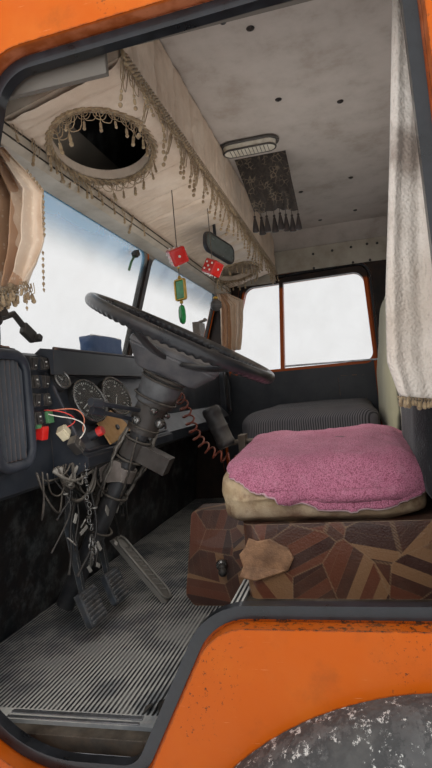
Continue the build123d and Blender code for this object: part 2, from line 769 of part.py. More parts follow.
# Clamp that hangs the column from the dashboard
CLAMP_DROP = 54            # below the instruments' foot
clamp_z = CLUSTER_FOOT - CLAMP_DROP
CLAMP_DOWN = (WHEEL_CENTRE_Z - clamp_z) / math.cos(tilt)
clamp_y = WHEEL_CENTRE_Y - (WHEEL_CENTRE_Z - clamp_z) * math.tan(tilt)
CLAMP_LONG = 36
CLAMP_WALL = 8
CLAMP_HALF = 34
with BuildPart() as column_clamp:
    with BuildSketch(wheel_plane.offset(-CLAMP_DOWN)):
        Circle(COLUMN_RADIUS + CLAMP_WALL)
    extrude(amount=-CLAMP_LONG)
    with BuildSketch(Plane.YZ.offset(WHEEL_X - CLAMP_HALF)):
        with BuildLine():
            Polyline(
                (cluster_foot_y - 30, CLUSTER_FOOT - 52),
                (cluster_foot_y + LIP, CLUSTER_FOOT - 30),
                (clamp_y, CLUSTER_FOOT - 40),
                (clamp_y, CLUSTER_FOOT - 90),
                (cluster_foot_y - 30, CLUSTER_FOOT - 90),
                close=True,
            )
        make_face()
    extrude(amount=2 * CLAMP_HALF)
    with BuildSketch(wheel_plane):
        Circle(COLUMN_RADIUS + 0.1)
    extrude(amount=-CLAMP_DOWN - 200, mode=Mode.SUBTRACT)
write(column_clamp.part, "column_clamp")

# Pedals: accelerator, brake and clutch
PEDAL_ARM = 14
HEEL = 4.3                 # middle of the throttle plate's foot over the mat
PEDALS = (
    # middle along X, top Y, top Z, foot Y, foot Z, width
    (478, 30, 505, 186, FLOOR_TOP + MAT_THICK + HEEL, 58),
    (610, 60, 440, 90, 360, 80),
    (760, 60, 440, 90, 360, 80),
)
with BuildPart() as pedals:
    for middle, top_y, top_z, foot_y, foot_z, width in PEDALS:
        with BuildSketch(Plane.YZ.offset(middle - width / 2)):
            with BuildLine():
                Polyline(
                    (top_y, top_z),
                    (foot_y, foot_z),
                    (foot_y - 14, foot_z - 4),
                    (top_y - 14, top_z - 4),
                    close=True,
                )
            make_face()
        extrude(amount=width)
        if top_z < 450:
            with BuildSketch(Plane.YZ.offset(middle - PEDAL_ARM / 2)):
                with BuildLine():
                    Polyline(
                        (top_y - 2, top_z - 10),
                        (top_y - 14, top_z - 20),
                        (DASH_FACE - 34, 600),
                        (DASH_FACE - 16, DASH_BOTTOM - 6 - FIT),
                        (DASH_FACE - 8, DASH_BOTTOM - FIT),
                        (DASH_FACE, DASH_BOTTOM + 8 - FIT),
                        (DASH_FACE + 4, DASH_BOTTOM - 10),
                        (DASH_FACE - 12, 600),
                        close=True,
                    )
                make_face()
            extrude(amount=PEDAL_ARM)
write(pedals.part, "pedals")

# Gear lever, leaning to the dashboard, with a thick grip
LEVER_FOOT = (372, 600, DECK_TOP + COVER_HIGH)
GRIP_FOOT = (380, 390, 757)
GRIP_TOP = (378, 342, 884)
GRIP_RADIUS = 28
with BuildPart() as gear_lever:
    with BuildSketch(Plane.XY.offset(LEVER_FOOT[2])):
        with Locations(LEVER_FOOT[:2]):
            Circle(40)
    extrude(amount=34, taper=22)
    with BuildLine() as lever_line:
        FilletPolyline(
            (LEVER_FOOT[0], LEVER_FOOT[1], LEVER_FOOT[2] + 10),
            (LEVER_FOOT[0], LEVER_FOOT[1] - 30, LEVER_FOOT[2] + 90),
            Vector(GRIP_FOOT) + (Vector(GRIP_TOP) - Vector(GRIP_FOOT)) * 0.1,
            radius=40,
        )
    with BuildSketch(Plane(lever_line.line @ 0, z_dir=lever_line.line % 0)):
        RegularPolygon(9, 12)
    sweep(path=lever_line.line)
    grip_dir = (Vector(GRIP_TOP) - Vector(GRIP_FOOT)).normalized()
    with BuildSketch(Plane(GRIP_FOOT, z_dir=grip_dir)):
        Circle(GRIP_RADIUS)
    extrude(amount=(Vector(GRIP_TOP) - Vector(GRIP_FOOT)).length)
    chamfer(gear_lever.edges().filter_by(GeomType.CIRCLE).sort_by(Axis.Z)[-1], 7)
    hose_end = HOSE_ROUTE[-1]
    with Locations((hose_end[0] - 16, hose_end[1] + 10, hose_end[2] + 24)):
        Box(54, 20, 96)
write(gear_lever.part, "gear_lever")

# Coiled air hose from the column to the lever: one tube of the coil's outer size
with BuildPart() as lever_hose:
    with BuildLine() as hose_line:
        FilletPolyline(*HOSE_ROUTE, radius=hose_radii)
    with BuildSketch(Plane(hose_line.line @ 0, z_dir=hose_line.line % 0)):
        Circle(HOSE_OUTER / 2)
    sweep(path=hose_line.line)
hose_length = sum(edge.length for edge in hose_line.edges())
hose_volume = math.pi * (HOSE_OUTER / 2) ** 2 * hose_length
print("hose radii", [round(radius) for radius in hose_radii])
print("hose length", round(hose_length))
print("hose volume ratio", round(lever_hose.part.volume / hose_volume, 4))
write(lever_hose.part, "lever_hose")

# Rubber mat over the floor, climbing the step
with BuildPart() as floor_mat:
    with BuildSketch(Plane.YZ.offset(-half_inner + 30)):
        with BuildLine():
            Polyline(
                (front_y(FLOOR_TOP) + front_wall + 4, FLOOR_TOP),
                (STEP_Y, FLOOR_TOP),
                (STEP_Y + 80, DECK_TOP),
                (STEP_Y + 100, DECK_TOP),
                (STEP_Y + 100, DECK_TOP + MAT_THICK),
                (STEP_Y + 75, DECK_TOP + MAT_THICK),
                (STEP_Y - 5, FLOOR_TOP + MAT_THICK),
                (front_y(FLOOR_TOP) + front_wall + 4, FLOOR_TOP + MAT_THICK),
                close=True,
            )
        make_face()
    extrude(amount=2 * (half_inner - 30))
write(floor_mat.part, "floor_mat")

# Seats
BASE_Y = (530, 980)
BACK_TOP = 1390
SEATS = (
    # name, low X, high X, front Y, top of the cushion, low X and high X of the base
    ("driver", 420, 945, 468, 812, 530, 918),
    ("passenger", -1090, -100, 300, 836, -1075, -112),
)
SEAT_BACK_Y = 905
base_top = DECK_TOP + BASE_HIGH
for name, low, high, front, top, base_low, base_high in SEATS:
    base_front = min(BASE_Y[0], front + 62)
    base_front = max(base_front, STEP_Y + 102)
    with BuildPart() as seat_base:
        with BuildSketch(Plane.XY.offset(DECK_TOP)):
            with Locations(((base_low + base_high) / 2, (base_front + BASE_Y[1]) / 2)):
                RectangleRounded(base_high - base_low, BASE_Y[1] - base_front, 30)
        extrude(amount=BASE_HIGH)
    write(seat_base.part, f"{name}_seat_base")
    with BuildPart() as cushion:
        with BuildSketch(Plane.XY.offset(base_top)):
            with Locations(((low + high) / 2, (front + SEAT_BACK_Y) / 2)):
                RectangleRounded(high - low, SEAT_BACK_Y - front, 80)
        extrude(amount=top - base_top)
        chamfer(cushion.faces().sort_by(Axis.Z)[-1].edges(), 26)
    write(cushion.part, f"{name}_cushion")
    with BuildPart() as backrest:
        with BuildSketch(Plane.YZ.offset(low + 5)):
            with BuildLine():
                FilletPolyline(
                    (SEAT_BACK_Y + 2, base_top),
                    (SEAT_BACK_Y + 140, base_top),
                    (SEAT_BACK_Y + 205, BACK_TOP),
                    (SEAT_BACK_Y + 80, BACK_TOP),
                    (SEAT_BACK_Y + 14, 960),
                    radius=[30, 30, 50, 50, 60],
                    close=True,
                )
            make_face()
        extrude(amount=high - low - 10)
    write(backrest.part, f"{name}_backrest")

# Quilted box on the floor between the driver and the engine
BOX_X = (430, 522)
BOX_Y = (256, BASE_Y[0] - 6)
BOX_TOP = 590
with BuildPart() as tool_box:
    with BuildSketch(Plane.YZ.offset(BOX_X[0])):
        with BuildLine():
            FilletPolyline(
                (BOX_Y[0] + 24, FLOOR_TOP + MAT_THICK + FIT),
                (STEP_Y - 7, FLOOR_TOP + MAT_THICK + FIT),
                (STEP_Y + 73, DECK_TOP + MAT_THICK + FIT),
                (BOX_Y[1], DECK_TOP + MAT_THICK + FIT),
                (BOX_Y[1], BOX_TOP),
                (BOX_Y[0] + 40, BOX_TOP),
                (BOX_Y[0], FLOOR_TOP + 40),
                radius=[18, 4, 4, 4, 20, 20, 18],
                close=True,
            )
        make_face()
    extrude(amount=BOX_X[1] - BOX_X[0])
write(tool_box.part, "tool_box")

# Rubber seals round the doorways, with a lip that lies in the step
SEAL_BACK = 10             # outboard of the inner wall face
LIP_THICK = 7
rebate_floor = HALF_WIDTH - REBATE_DEPTH
with BuildPart() as seal:
    with BuildSketch(Plane.YZ.offset(half_inner + SEAL_BACK)):
        add(doorway(-FIT))
        add(doorway(-SEAL_WIDTH), mode=Mode.SUBTRACT)
    extrude(amount=rebate_floor + FIT - half_inner - SEAL_BACK)
    with BuildSketch(Plane.YZ.offset(rebate_floor + FIT)):
        add(doorway(SEAL_LIP))
        add(doorway(-SEAL_WIDTH), mode=Mode.SUBTRACT)
    extrude(amount=LIP_THICK)
with BuildPart() as door_seals:
    add(seal.part)
    mirror(seal.part, about=Plane.YZ)
write(door_seals.part, "door_seals")

# Door hinges: two ears on the frame, one knuckle on the door, a pin through
HINGE_HEIGHTS = (560, 900)
EAR_HIGH = 26
KNUCKLE_HIGH = 46
KNUCKLE_GAP = 1
LEAF_LONG = 90
LEAF_THICK = 6


def hinge_leaf(direction):
    """Section of a leaf that runs from the pin along the skin."""
    with BuildSketch() as section:
        with BuildLine():
            Polyline(
                (HALF_WIDTH, HINGE_Y + direction * LEAF_LONG),
                (HALF_WIDTH, HINGE_Y + direction * 24),
                (HINGE_X - 6, HINGE_Y + direction * 5),
                (HINGE_X + 2, HINGE_Y + direction * 11),
                (HALF_WIDTH + LEAF_THICK, HINGE_Y + direction * 36),
                (HALF_WIDTH + LEAF_THICK, HINGE_Y + direction * LEAF_LONG),
                close=True,
            )
        make_face()
        with Locations((HINGE_X, HINGE_Y)):
            Circle(KNUCKLE_RADIUS)
    return section.sketch


with BuildPart() as frame_hinges:
    for height in HINGE_HEIGHTS:
        for start in (
            height - KNUCKLE_HIGH / 2 - KNUCKLE_GAP - EAR_HIGH,
            height + KNUCKLE_HIGH / 2 + KNUCKLE_GAP,
        ):
            with BuildSketch(Plane.XY.offset(start)):
                add(hinge_leaf(-1))
            extrude(amount=EAR_HIGH)
        with BuildSketch(Plane.XY.offset(height - KNUCKLE_HIGH)):
            with Locations((HINGE_X, HINGE_Y)):
                Circle(PIN_RADIUS)
        extrude(amount=2 * KNUCKLE_HIGH)
with BuildPart() as door_hinge_ears:
    add(frame_hinges.part)
    mirror(frame_hinges.part, about=Plane.YZ)
write(door_hinge_ears.part, "door_hinge_ears")

# Doors, built closed on the driver's side
hinge_axis = Axis((HINGE_X, HINGE_Y, 0), (0, 0, 1))


def write_doors(piece, name):
    """Writes the open driver's piece and the closed passenger's one."""
    with BuildPart() as opened:
        add(piece.rotate(hinge_axis, -DOOR_OPEN))
    write(opened.part, f"driver_door_{name}")
    with BuildPart() as closed:
        mirror(piece, about=Plane.YZ)
    write(closed.part, f"passenger_door_{name}")


DOOR_WINDOW = (
    # along Y, along Z, corner radius
    (66, WAIST + 60, 50),
    (222, GUTTER - 154, 60),
    (896, GUTTER - 144, 60),
    (914, WAIST + 60, 50),
)
VENT_BAR = (
    # along Y at the sill and at the top, half width
    394,
    432,
    11,
)
door_inner_face = HALF_WIDTH - DOOR_SKIN_DEPTH - DOOR_INNER_DEPTH


def door_window(grow):
    """Outline of the window in a door, grown by an amount."""
    with BuildSketch() as outline:
        with BuildLine():
            points = [(y, z) for y, z, radius in DOOR_WINDOW]
            radii = [radius for y, z, radius in DOOR_WINDOW]
            FilletPolyline(*points, radius=radii, close=True)
        make_face()
        if grow:
            offset(amount=grow)
    return outline.sketch


def vent_bar(grow):
    """Outline of the bar between the vent window and the main one."""
    low, high, half = VENT_BAR
    half += grow
    with BuildSketch() as outline:
        with BuildLine():
            Polyline(
                (low - half, 1020),
                (high - half, 1560),
                (high + half, 1560),
                (low + half, 1020),
                close=True,
            )
        make_face()
    return outline.sketch


with BuildPart() as door_shell:
    with BuildSketch(Plane.YZ.offset(HALF_WIDTH - DOOR_SKIN_DEPTH)):
        add(doorway(REBATE_GROWTH - DOOR_GAP))
    extrude(amount=DOOR_SKIN_DEPTH)
    with BuildSketch(Plane.YZ.offset(door_inner_face)):
        add(doorway(-DOOR_CLEARANCE))
    extrude(amount=DOOR_INNER_DEPTH)
    with BuildSketch(Plane.YZ.offset(door_inner_face)):
        add(door_window(0))
        add(vent_bar(0), mode=Mode.SUBTRACT)
    extrude(amount=SIDE_WALL + 10, mode=Mode.SUBTRACT)
write_doors(door_shell.part, "shell")

with BuildPart() as door_glass:
    with BuildSketch(Plane.YZ.offset(HALF_WIDTH - 30)):
        add(door_window(-FIT))
        add(vent_bar(FIT), mode=Mode.SUBTRACT)
    extrude(amount=GLASS)
write_doors(door_glass.part, "glass")

TRIM_INSET = 40
with BuildPart() as door_trim:
    with BuildSketch(Plane.YZ.offset(door_inner_face - 8)):
        add(doorway(-TRIM_INSET))
        add(door_window(16), mode=Mode.SUBTRACT)
        with Locations((500, 1400)):
            Rectangle(1400, 700, mode=Mode.SUBTRACT)
    extrude(amount=8)
write_doors(door_trim.part, "trim")

with BuildPart() as door_knuckles:
    for height in HINGE_HEIGHTS:
        with BuildSketch(Plane.XY.offset(height - KNUCKLE_HIGH / 2)):
            add(hinge_leaf(1))
            with Locations((HINGE_X, HINGE_Y)):
                Circle(PIN_RADIUS + RUNNING, mode=Mode.SUBTRACT)
        extrude(amount=KNUCKLE_HIGH)
write_doors(door_knuckles.part, "hinges")

# Outside handle
with BuildPart() as door_handle:
    with BuildSketch(Plane.XY.offset(990)):
        with BuildLine():
            Polyline(
                (HALF_WIDTH, 760),
                (HALF_WIDTH + 34, 775),
                (HALF_WIDTH + 34, 885),
                (HALF_WIDTH, 900),
                (HALF_WIDTH, 880),
                (HALF_WIDTH + 22, 872),
                (HALF_WIDTH + 22, 788),
                (HALF_WIDTH, 780),
                close=True,
            )
        make_face()
    extrude(amount=-20)
write_doors(door_handle.part, "handle")

# Mudguards: a barrel inside the wheel opening that curls down outside the skin
GUARD_THICK = 8
GUARD_INNER_X = HALF_WIDTH - 500
GUARD_OUT = 15             # straight past the skin before it curls
GUARD_CURL = 75
GUARD_LIP = 25
GUARD_SPREAD = 67          # degrees each way from the top
guard_radius = ARCH_RADIUS - FIT
curl_x = HALF_WIDTH + GUARD_OUT
start_angle = math.radians(GUARD_SPREAD)
guard_plane = Plane(
    origin=(0, ARCH_Y, ARCH_Z),
    x_dir=(1, 0, 0),
    z_dir=(0, -math.cos(start_angle), math.sin(start_angle)),
)
with BuildPart() as mudguard:
    with BuildSketch(guard_plane):
        with BuildLine():
            curl_z = guard_radius - GUARD_CURL
            inner_curl = GUARD_CURL - GUARD_THICK
            Line((GUARD_INNER_X, guard_radius), (curl_x, guard_radius))
            CenterArc((curl_x, curl_z), GUARD_CURL, 90, -90)
            Polyline(
                (curl_x + GUARD_CURL, curl_z),
                (curl_x + GUARD_CURL, curl_z - GUARD_LIP),
                (curl_x + inner_curl, curl_z - GUARD_LIP),
                (curl_x + inner_curl, curl_z),
            )
            CenterArc((curl_x, curl_z), inner_curl, 0, 90)
            Polyline(
                (curl_x, guard_radius - GUARD_THICK),
                (GUARD_INNER_X, guard_radius - GUARD_THICK),
                (GUARD_INNER_X, guard_radius),
            )
        make_face()
    revolve(axis=Axis((0, ARCH_Y, ARCH_Z), (1, 0, 0)), revolution_arc=2 * GUARD_SPREAD)
with BuildPart() as mudguards:
    add(mudguard.part)
    mirror(mudguard.part, about=Plane.YZ)
write(mudguards.part, "mudguards")

# Rests at the back that the cab lies down on
REST_X = 420
with BuildPart() as rear_rests:
    with BuildSketch(Plane.XY.offset(SILL_BOTTOM)):
        with Locations((-REST_X, REAR_FACE - 60), (REST_X, REAR_FACE - 60)):
            Rectangle(120, 120)
    extrude(amount=-70)
write(rear_rests.part, "rear_rests")

# Inside mirror on its bent arm, under the shelf
MIRROR_AT = (10, 329, HEADER_Z - 14)
MIRROR_SIZE = (210, 80)
MIRROR_ARM = 102           # up to the shelf's sloping underside
mirror_plane = Plane(MIRROR_AT, x_dir=(0.95, -0.3, 0.15), z_dir=(0.3, 0.95, 0))
with BuildPart() as inside_mirror:
    with BuildSketch(mirror_plane):
        RectangleRounded(*MIRROR_SIZE, 30)
    extrude(amount=16)
    fillet(inside_mirror.faces().sort_by(Axis.Y)[0].edges(), 6)
    with BuildSketch(Plane.XY.offset(MIRROR_AT[2])):
        with Locations((MIRROR_AT[0], MIRROR_AT[1] - 4)):
            Circle(6)
    extrude(amount=MIRROR_ARM)
write(inside_mirror.part, "inside_mirror")

# Lamp in the ceiling
LAMP_AT = (170, 514)
LAMP_SIZE = (74, 196)
with BuildPart() as roof_lamp:
    with BuildSketch(Plane.XY.offset(CEILING)):
        with Locations(LAMP_AT):
            SlotOverall(LAMP_SIZE[1], LAMP_SIZE[0], rotation=90)
    extrude(amount=-30, taper=14)
write(roof_lamp.part, "roof_lamp")

# Curtains: pleated cloth cut to a side outline and drawn to the edges
CURTAIN_THICK = 5
PLEAT_STEP = 24
PLEAT_DEPTH = 24
BERTH_DROP = 16.3          # the ceiling slopes down to the side here
CURTAINS = (
    # middle X, outline along Y and Z
    (half_inner - 86, (
        (60, HEADER_Z - FIT), (112, HEADER_Z - FIT), (199, HEADER_Z - 111),
        (183, HEADER_Z - 215), (138, HEADER_Z - 305), (75, HEADER_Z - 329),
        (24, HEADER_Z - 321), (14, HEADER_Z - 201), (40, HEADER_Z - 51),
    )),
    (130 - half_inner, (
        (70, HEADER_Z - FIT), (116, HEADER_Z - FIT), (225, HEADER_Z - 56),
        (182, HEADER_Z - 337), (70, HEADER_Z - 336), (84, HEADER_Z - 101),
    )),
    (half_inner - 114, (
        (945, CEILING - BERTH_DROP), (928, CEILING - 159), (884, CEILING - 533),
        (868, CEILING - 722), (850, CEILING - 911), (860, CEILING - 978),
        (905, CEILING - 985), (960, CEILING - 970), (1010, CEILING - 700),
        (1040, CEILING - BERTH_DROP),
    )),
)
with BuildPart() as curtains:
    for middle, outline in CURTAINS:
        low = min(y for y, z in outline) - PLEAT_STEP
        high = max(y for y, z in outline) + PLEAT_STEP
        folds = math.ceil((high - low) / PLEAT_STEP)
        wave = [
            (middle + PLEAT_DEPTH * (0.5 - n % 2), low + n * PLEAT_STEP)
            for n in range(folds + 1)
        ]
        shape = Plane.YZ.offset(middle - PLEAT_DEPTH)
        with BuildPart() as cloth:
            with BuildSketch():
                with BuildLine():
                    Polyline(
                        *wave,
                        *[(x + CURTAIN_THICK, y) for x, y in reversed(wave)],
                        close=True,
                    )
                make_face()
            extrude(amount=CEILING)
            with BuildSketch(shape):
                with BuildLine():
                    Polyline(*outline, close=True)
                make_face()
            extrude(amount=2 * PLEAT_DEPTH, mode=Mode.INTERSECT)
        add(cloth.part)
write(curtains.part, "curtains")

# Velvet valance hung from the ceiling across the middle
VALANCE_X = (40, 58)
VALANCE = (
    (434, CEILING - FIT), (630, CEILING - FIT),
    (660, CEILING - 160), (655, CEILING - 230), (490, CEILING - 210),
)
with BuildPart() as valance:
    with BuildSketch(Plane.YZ.offset(VALANCE_X[0])):
        with BuildLine():
            Polyline(*VALANCE, close=True)
        make_face()
    extrude(amount=VALANCE_X[1] - VALANCE_X[0])
write(valance.part, "valance")

# Charms on two wires under the shelf
WIRE_RADIUS = 1.5
shelf_slope = (SHELF_REAR_BOTTOM - SHELF_FRONT_BOTTOM) / (SHELF_BACK - RAIL_BACK)
CHARMS = (
    # X, Y, height of the middle, size along X, Y and Z
    (450, 300, HEADER_Z - 134, 54, 54, 54),
    (450, 300, HEADER_Z - 240, 46, 12, 70),
    (450, 300, HEADER_Z - 318, 28, 14, 60),
    (200, 350, HEADER_Z - 129, 54, 54, 54),
    (200, 350, HEADER_Z - 261, 40, 40, 44),
)
with BuildPart() as charms:
    for x, y, z, wide, deep, high in CHARMS:
        with BuildPart(mode=Mode.PRIVATE) as charm:
            with Locations((x, y, z)):
                Box(wide, deep, high)
            fillet(charm.edges(), min(wide, deep, high) / 5)
        add(charm.part)
write(charms.part, "charms")

with BuildPart() as charm_wires:
    above = None
    for x, y, z, wide, deep, high in CHARMS:
        if x != above:
            shelf_at = SHELF_FRONT_BOTTOM + shelf_slope * (y - RAIL_BACK)
            top = shelf_at - shelf_slope * WIRE_RADIUS - FIT
        bottom = z + high / 2 + FIT
        with Locations((x, y, (top + bottom) / 2)):
            Cylinder(WIRE_RADIUS, top - bottom)
        print("charm wire", round(top - bottom, 1))
        above = x
        top = z - high / 2 - FIT
write(charm_wires.part, "charm_wires")

# Outside mirrors on bent arms from the front pillars
ARM_ROOT = (-62, (1110, 1390))
ARM_OUT = (HALF_WIDTH + 90, -118)
ARM_RADIUS = 9
HEAD_SIZE = (150, 44, 270)
HEAD_AT = (HALF_WIDTH + 100, -128, 1250)
with BuildPart() as outside_mirror:
    for z in ARM_ROOT[1]:
        with BuildLine() as arm:
            FilletPolyline(
                (HALF_WIDTH, ARM_ROOT[0], z),
                (HALF_WIDTH + 40, ARM_ROOT[0], z),
                (ARM_OUT[0], ARM_OUT[1], z),
                radius=24,
            )
        with BuildSketch(Plane(arm.line @ 0, z_dir=arm.line % 0)):
            RegularPolygon(ARM_RADIUS, 10)
        sweep(path=arm.line)
    with Locations(HEAD_AT):
        Box(*HEAD_SIZE)
    head = outside_mirror.edges().filter_by(Axis.Z).sort_by(Axis.X)[-2:]
    fillet(head, 14)
with BuildPart() as outside_mirrors:
    add(outside_mirror.part)
    mirror(outside_mirror.part, about=Plane.YZ)
write(outside_mirrors.part, "outside_mirrors")

# Wipers, parked along the foot of the glass
GLASS_FACE = -PANEL / 2 + GLASS / 2
WIPER_PIVOT = (500, SCREEN_BOTTOM - 26)
WIPER_MIDDLE = (330, SCREEN_BOTTOM + 42)
WIPER_LONG = 400
WIPER_OUT = 14
with BuildPart() as wipers:
    for side in (-1, 1):
        pivot = (WIPER_PIVOT[0] + side * 330 - 330, WIPER_PIVOT[1])
        middle = (pivot[0] - 260, WIPER_MIDDLE[1])
        turn = math.degrees(math.atan2(middle[1] - pivot[1], middle[0] - pivot[0]))
        reach = math.dist(middle, pivot)
        halfway = ((middle[0] + pivot[0]) / 2, (middle[1] + pivot[1]) / 2)
        with BuildSketch(screen_plane.offset(0)):
            with Locations(pivot):
                Circle(13)
        extrude(amount=WIPER_OUT + 10)
        with BuildSketch(screen_plane.offset(WIPER_OUT)):
            with Locations(halfway):
                Rectangle(reach, 12, rotation=turn)
        extrude(amount=7)
        with BuildSketch(screen_plane.offset(GLASS_FACE + FIT)):
            with Locations(middle):
                Rectangle(WIPER_LONG, 9)
        extrude(amount=WIPER_OUT - GLASS_FACE + 4)
write(wipers.part, "wipers")

# Round lamps at the front corners
CORNER_LAMP = (HALF_WIDTH - 215, 610, 82)
with BuildPart() as corner_lamps:
    lamp_plane = Plane(
        origin=(0, front_y(CORNER_LAMP[1]), CORNER_LAMP[1]),
        x_dir=(1, 0, 0),
        z_dir=(0, -1, FRONT_RAKE),
    )
    with BuildSketch(lamp_plane):
        with Locations((-CORNER_LAMP[0], 0), (CORNER_LAMP[0], 0)):
            Circle(CORNER_LAMP[2])
    extrude(amount=34, taper=12)
write(corner_lamps.part, "corner_lamps")
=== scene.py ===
# %% [markdown]
# # The cab of an old lorry, dressed for the road
# A driver lives in this cab, so it is padded, curtained and hung with charms. The solid pieces come
# from the CAD model, which is loaded first as a fixed frame. Everything soft, worn or repeated is made
# here around them. All lengths are metres, +X is the driver's side, -Y the front and +Z up.

# %% Load the frame
import math
import random

import bmesh
import bpy
from mathutils import Matrix, Vector, noise


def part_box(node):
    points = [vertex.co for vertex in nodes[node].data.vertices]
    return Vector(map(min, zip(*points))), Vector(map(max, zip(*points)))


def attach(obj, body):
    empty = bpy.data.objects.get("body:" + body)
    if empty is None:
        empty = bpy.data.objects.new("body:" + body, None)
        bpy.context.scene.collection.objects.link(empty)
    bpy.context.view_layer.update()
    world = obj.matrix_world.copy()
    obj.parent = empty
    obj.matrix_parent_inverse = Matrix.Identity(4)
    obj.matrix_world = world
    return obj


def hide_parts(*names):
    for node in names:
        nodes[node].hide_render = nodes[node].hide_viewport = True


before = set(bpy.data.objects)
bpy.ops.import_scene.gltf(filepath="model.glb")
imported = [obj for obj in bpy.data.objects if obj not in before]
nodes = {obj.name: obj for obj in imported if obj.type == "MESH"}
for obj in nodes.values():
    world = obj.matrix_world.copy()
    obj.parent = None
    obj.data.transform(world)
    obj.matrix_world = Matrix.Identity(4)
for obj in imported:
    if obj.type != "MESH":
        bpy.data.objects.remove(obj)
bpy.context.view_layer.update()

# %% [markdown]
# The camera comes before anything else, because it decides what has to be right. The photograph was
# taken by someone standing outside the open door with a phone held slightly askew. Yaw, pitch and roll
# were found from edges that are straight on the real cab: the doorways, the rail over the windscreen
# and the brow of the dashboard. The focal length is in pixels of a 432 x 768 picture.

# %% Camera
CAMERA_AT = Vector((2.10, 0.80, 0.93))
CAMERA_YAW = math.radians(14.05)
CAMERA_PITCH = math.radians(0.96)
CAMERA_ROLL = math.radians(-5.07)
FOCAL_PIXELS = 555
PICTURE_HEIGHT = 768
SENSOR = 36

forward = Vector((
    -math.cos(CAMERA_YAW) * math.cos(CAMERA_PITCH),
    -math.sin(CAMERA_YAW) * math.cos(CAMERA_PITCH),
    math.sin(CAMERA_PITCH),
))
level_right = forward.cross(Vector((0, 0, 1))).normalized()
level_up = level_right.cross(forward)
right = level_right * math.cos(CAMERA_ROLL) + level_up * math.sin(CAMERA_ROLL)
up = level_up * math.cos(CAMERA_ROLL) - level_right * math.sin(CAMERA_ROLL)
camera_data = bpy.data.cameras.new("camera")
camera_data.sensor_fit = "AUTO"
camera_data.sensor_width = SENSOR
camera_data.lens = FOCAL_PIXELS / PICTURE_HEIGHT * SENSOR
camera_data.clip_start = 0.02
camera = bpy.data.objects.new("camera", camera_data)
turn = Matrix((right, up, -forward)).transposed().to_4x4()
camera.matrix_world = Matrix.Translation(CAMERA_AT) @ turn
bpy.context.scene.collection.objects.link(camera)
bpy.context.scene.camera = camera
print("lens:", round(camera_data.lens, 2), "mm")

# %% [markdown]
# Colours below are written as they look on a screen, which is how paint charts give them, and turned
# into the linear values that a shader works with. Every material is a small tree of nodes, so two
# helpers save most of the typing: one places a node and wires it, the other starts a shared group with
# named sockets.

# %% Node helpers
def hue(red, green, blue):
    """A screen colour from 0 to 255, as linear RGBA."""
    linear = []
    for value in (red, green, blue):
        value = value / 255
        linear.append(value / 12.92 if value <= 0.04045 else ((value + 0.055) / 1.055) ** 2.4)
    return (*linear, 1)


def put(tree, kind, inputs=None, **settings):
    """Places a node; an input takes a value or another node's output."""
    made = tree.nodes.new("ShaderNode" + kind)
    for key, value in settings.items():
        setattr(made, key, value)
    for key, value in (inputs or {}).items():
        if isinstance(value, bpy.types.NodeSocket):
            tree.links.new(value, made.inputs[key])
        else:
            made.inputs[key].default_value = value
    return made


def blend_colour(tree, amount, low, high, kind="MIX"):
    """One colour over another by a mask."""
    mix = put(tree, "Mix", {0: amount, 6: low, 7: high}, data_type="RGBA", blend_type=kind)
    return mix.outputs[2]


def number(tree, kind, *values):
    """A Math node on values or sockets."""
    return put(tree, "Math", dict(enumerate(values)), operation=kind).outputs[0]


def times(tree, *values):
    """The product of two values or sockets."""
    return number(tree, "MULTIPLY", *values)


def plus(tree, *values):
    """The sum of two values or sockets."""
    return number(tree, "ADD", *values)


def either(tree, *masks):
    """The stronger of two masks."""
    return number(tree, "MAXIMUM", *masks)


def ramp(tree, value, low, high, to_low=0.0, to_high=1.0):
    """Stretches a value between two limits, smoothly and clamped."""
    made = put(
        tree, "MapRange", {0: value, 1: low, 2: high, 3: to_low, 4: to_high},
        interpolation_type="SMOOTHSTEP",
    )
    return made.outputs[0]


def object_place(tree):
    """Object coordinates, which stay with the piece when it moves."""
    return put(tree, "TexCoord").outputs["Object"]


def coordinate(tree, axis):
    """One Object coordinate."""
    return put(tree, "SeparateXYZ", {0: object_place(tree)}).outputs[axis]


def leaning(tree, axis, kind="True Normal"):
    """How far a face looks along one axis, from -1 to 1."""
    return put(tree, "SeparateXYZ", {0: put(tree, "NewGeometry").outputs[kind]}).outputs[axis]


def clouds(tree, place, scale, detail=2.0, rough=0.5):
    """Soft random patches, from 0 to 1."""
    node = put(tree, "TexNoise", {"Vector": place, "Scale": scale, "Detail": detail, "Roughness": rough})
    return node.outputs["Fac"]


def near(tree, place, spot):
    """How far each place is from one spot."""
    return put(tree, "VectorMath", {0: place, 1: spot}, operation="DISTANCE").outputs["Value"]


def shader_group(name, inputs, outputs):
    """A node group with named sockets: (label, kind, value) and (label, kind)."""
    group = bpy.data.node_groups.new(name, "ShaderNodeTree")
    for label, kind, value in inputs:
        made = group.interface.new_socket(label, in_out="INPUT", socket_type="NodeSocket" + kind)
        if value is not None:
            made.default_value = value
    for label, kind in outputs:
        group.interface.new_socket(label, in_out="OUTPUT", socket_type="NodeSocket" + kind)
    return group, group.nodes.new("NodeGroupInput").outputs, group.nodes.new("NodeGroupOutput").inputs


def use(tree, group, **inputs):
    """Places a group in a material and sets its named inputs."""
    made = tree.nodes.new("ShaderNodeGroup")
    made.node_tree = group
    for label, value in inputs.items():
        label = label.replace("_", " ")
        if isinstance(value, bpy.types.NodeSocket):
            tree.links.new(value, made.inputs[label])
        else:
            made.inputs[label].default_value = value
    return made.outputs


print("mid grey in linear light:", round(hue(128, 128, 128)[0], 3))

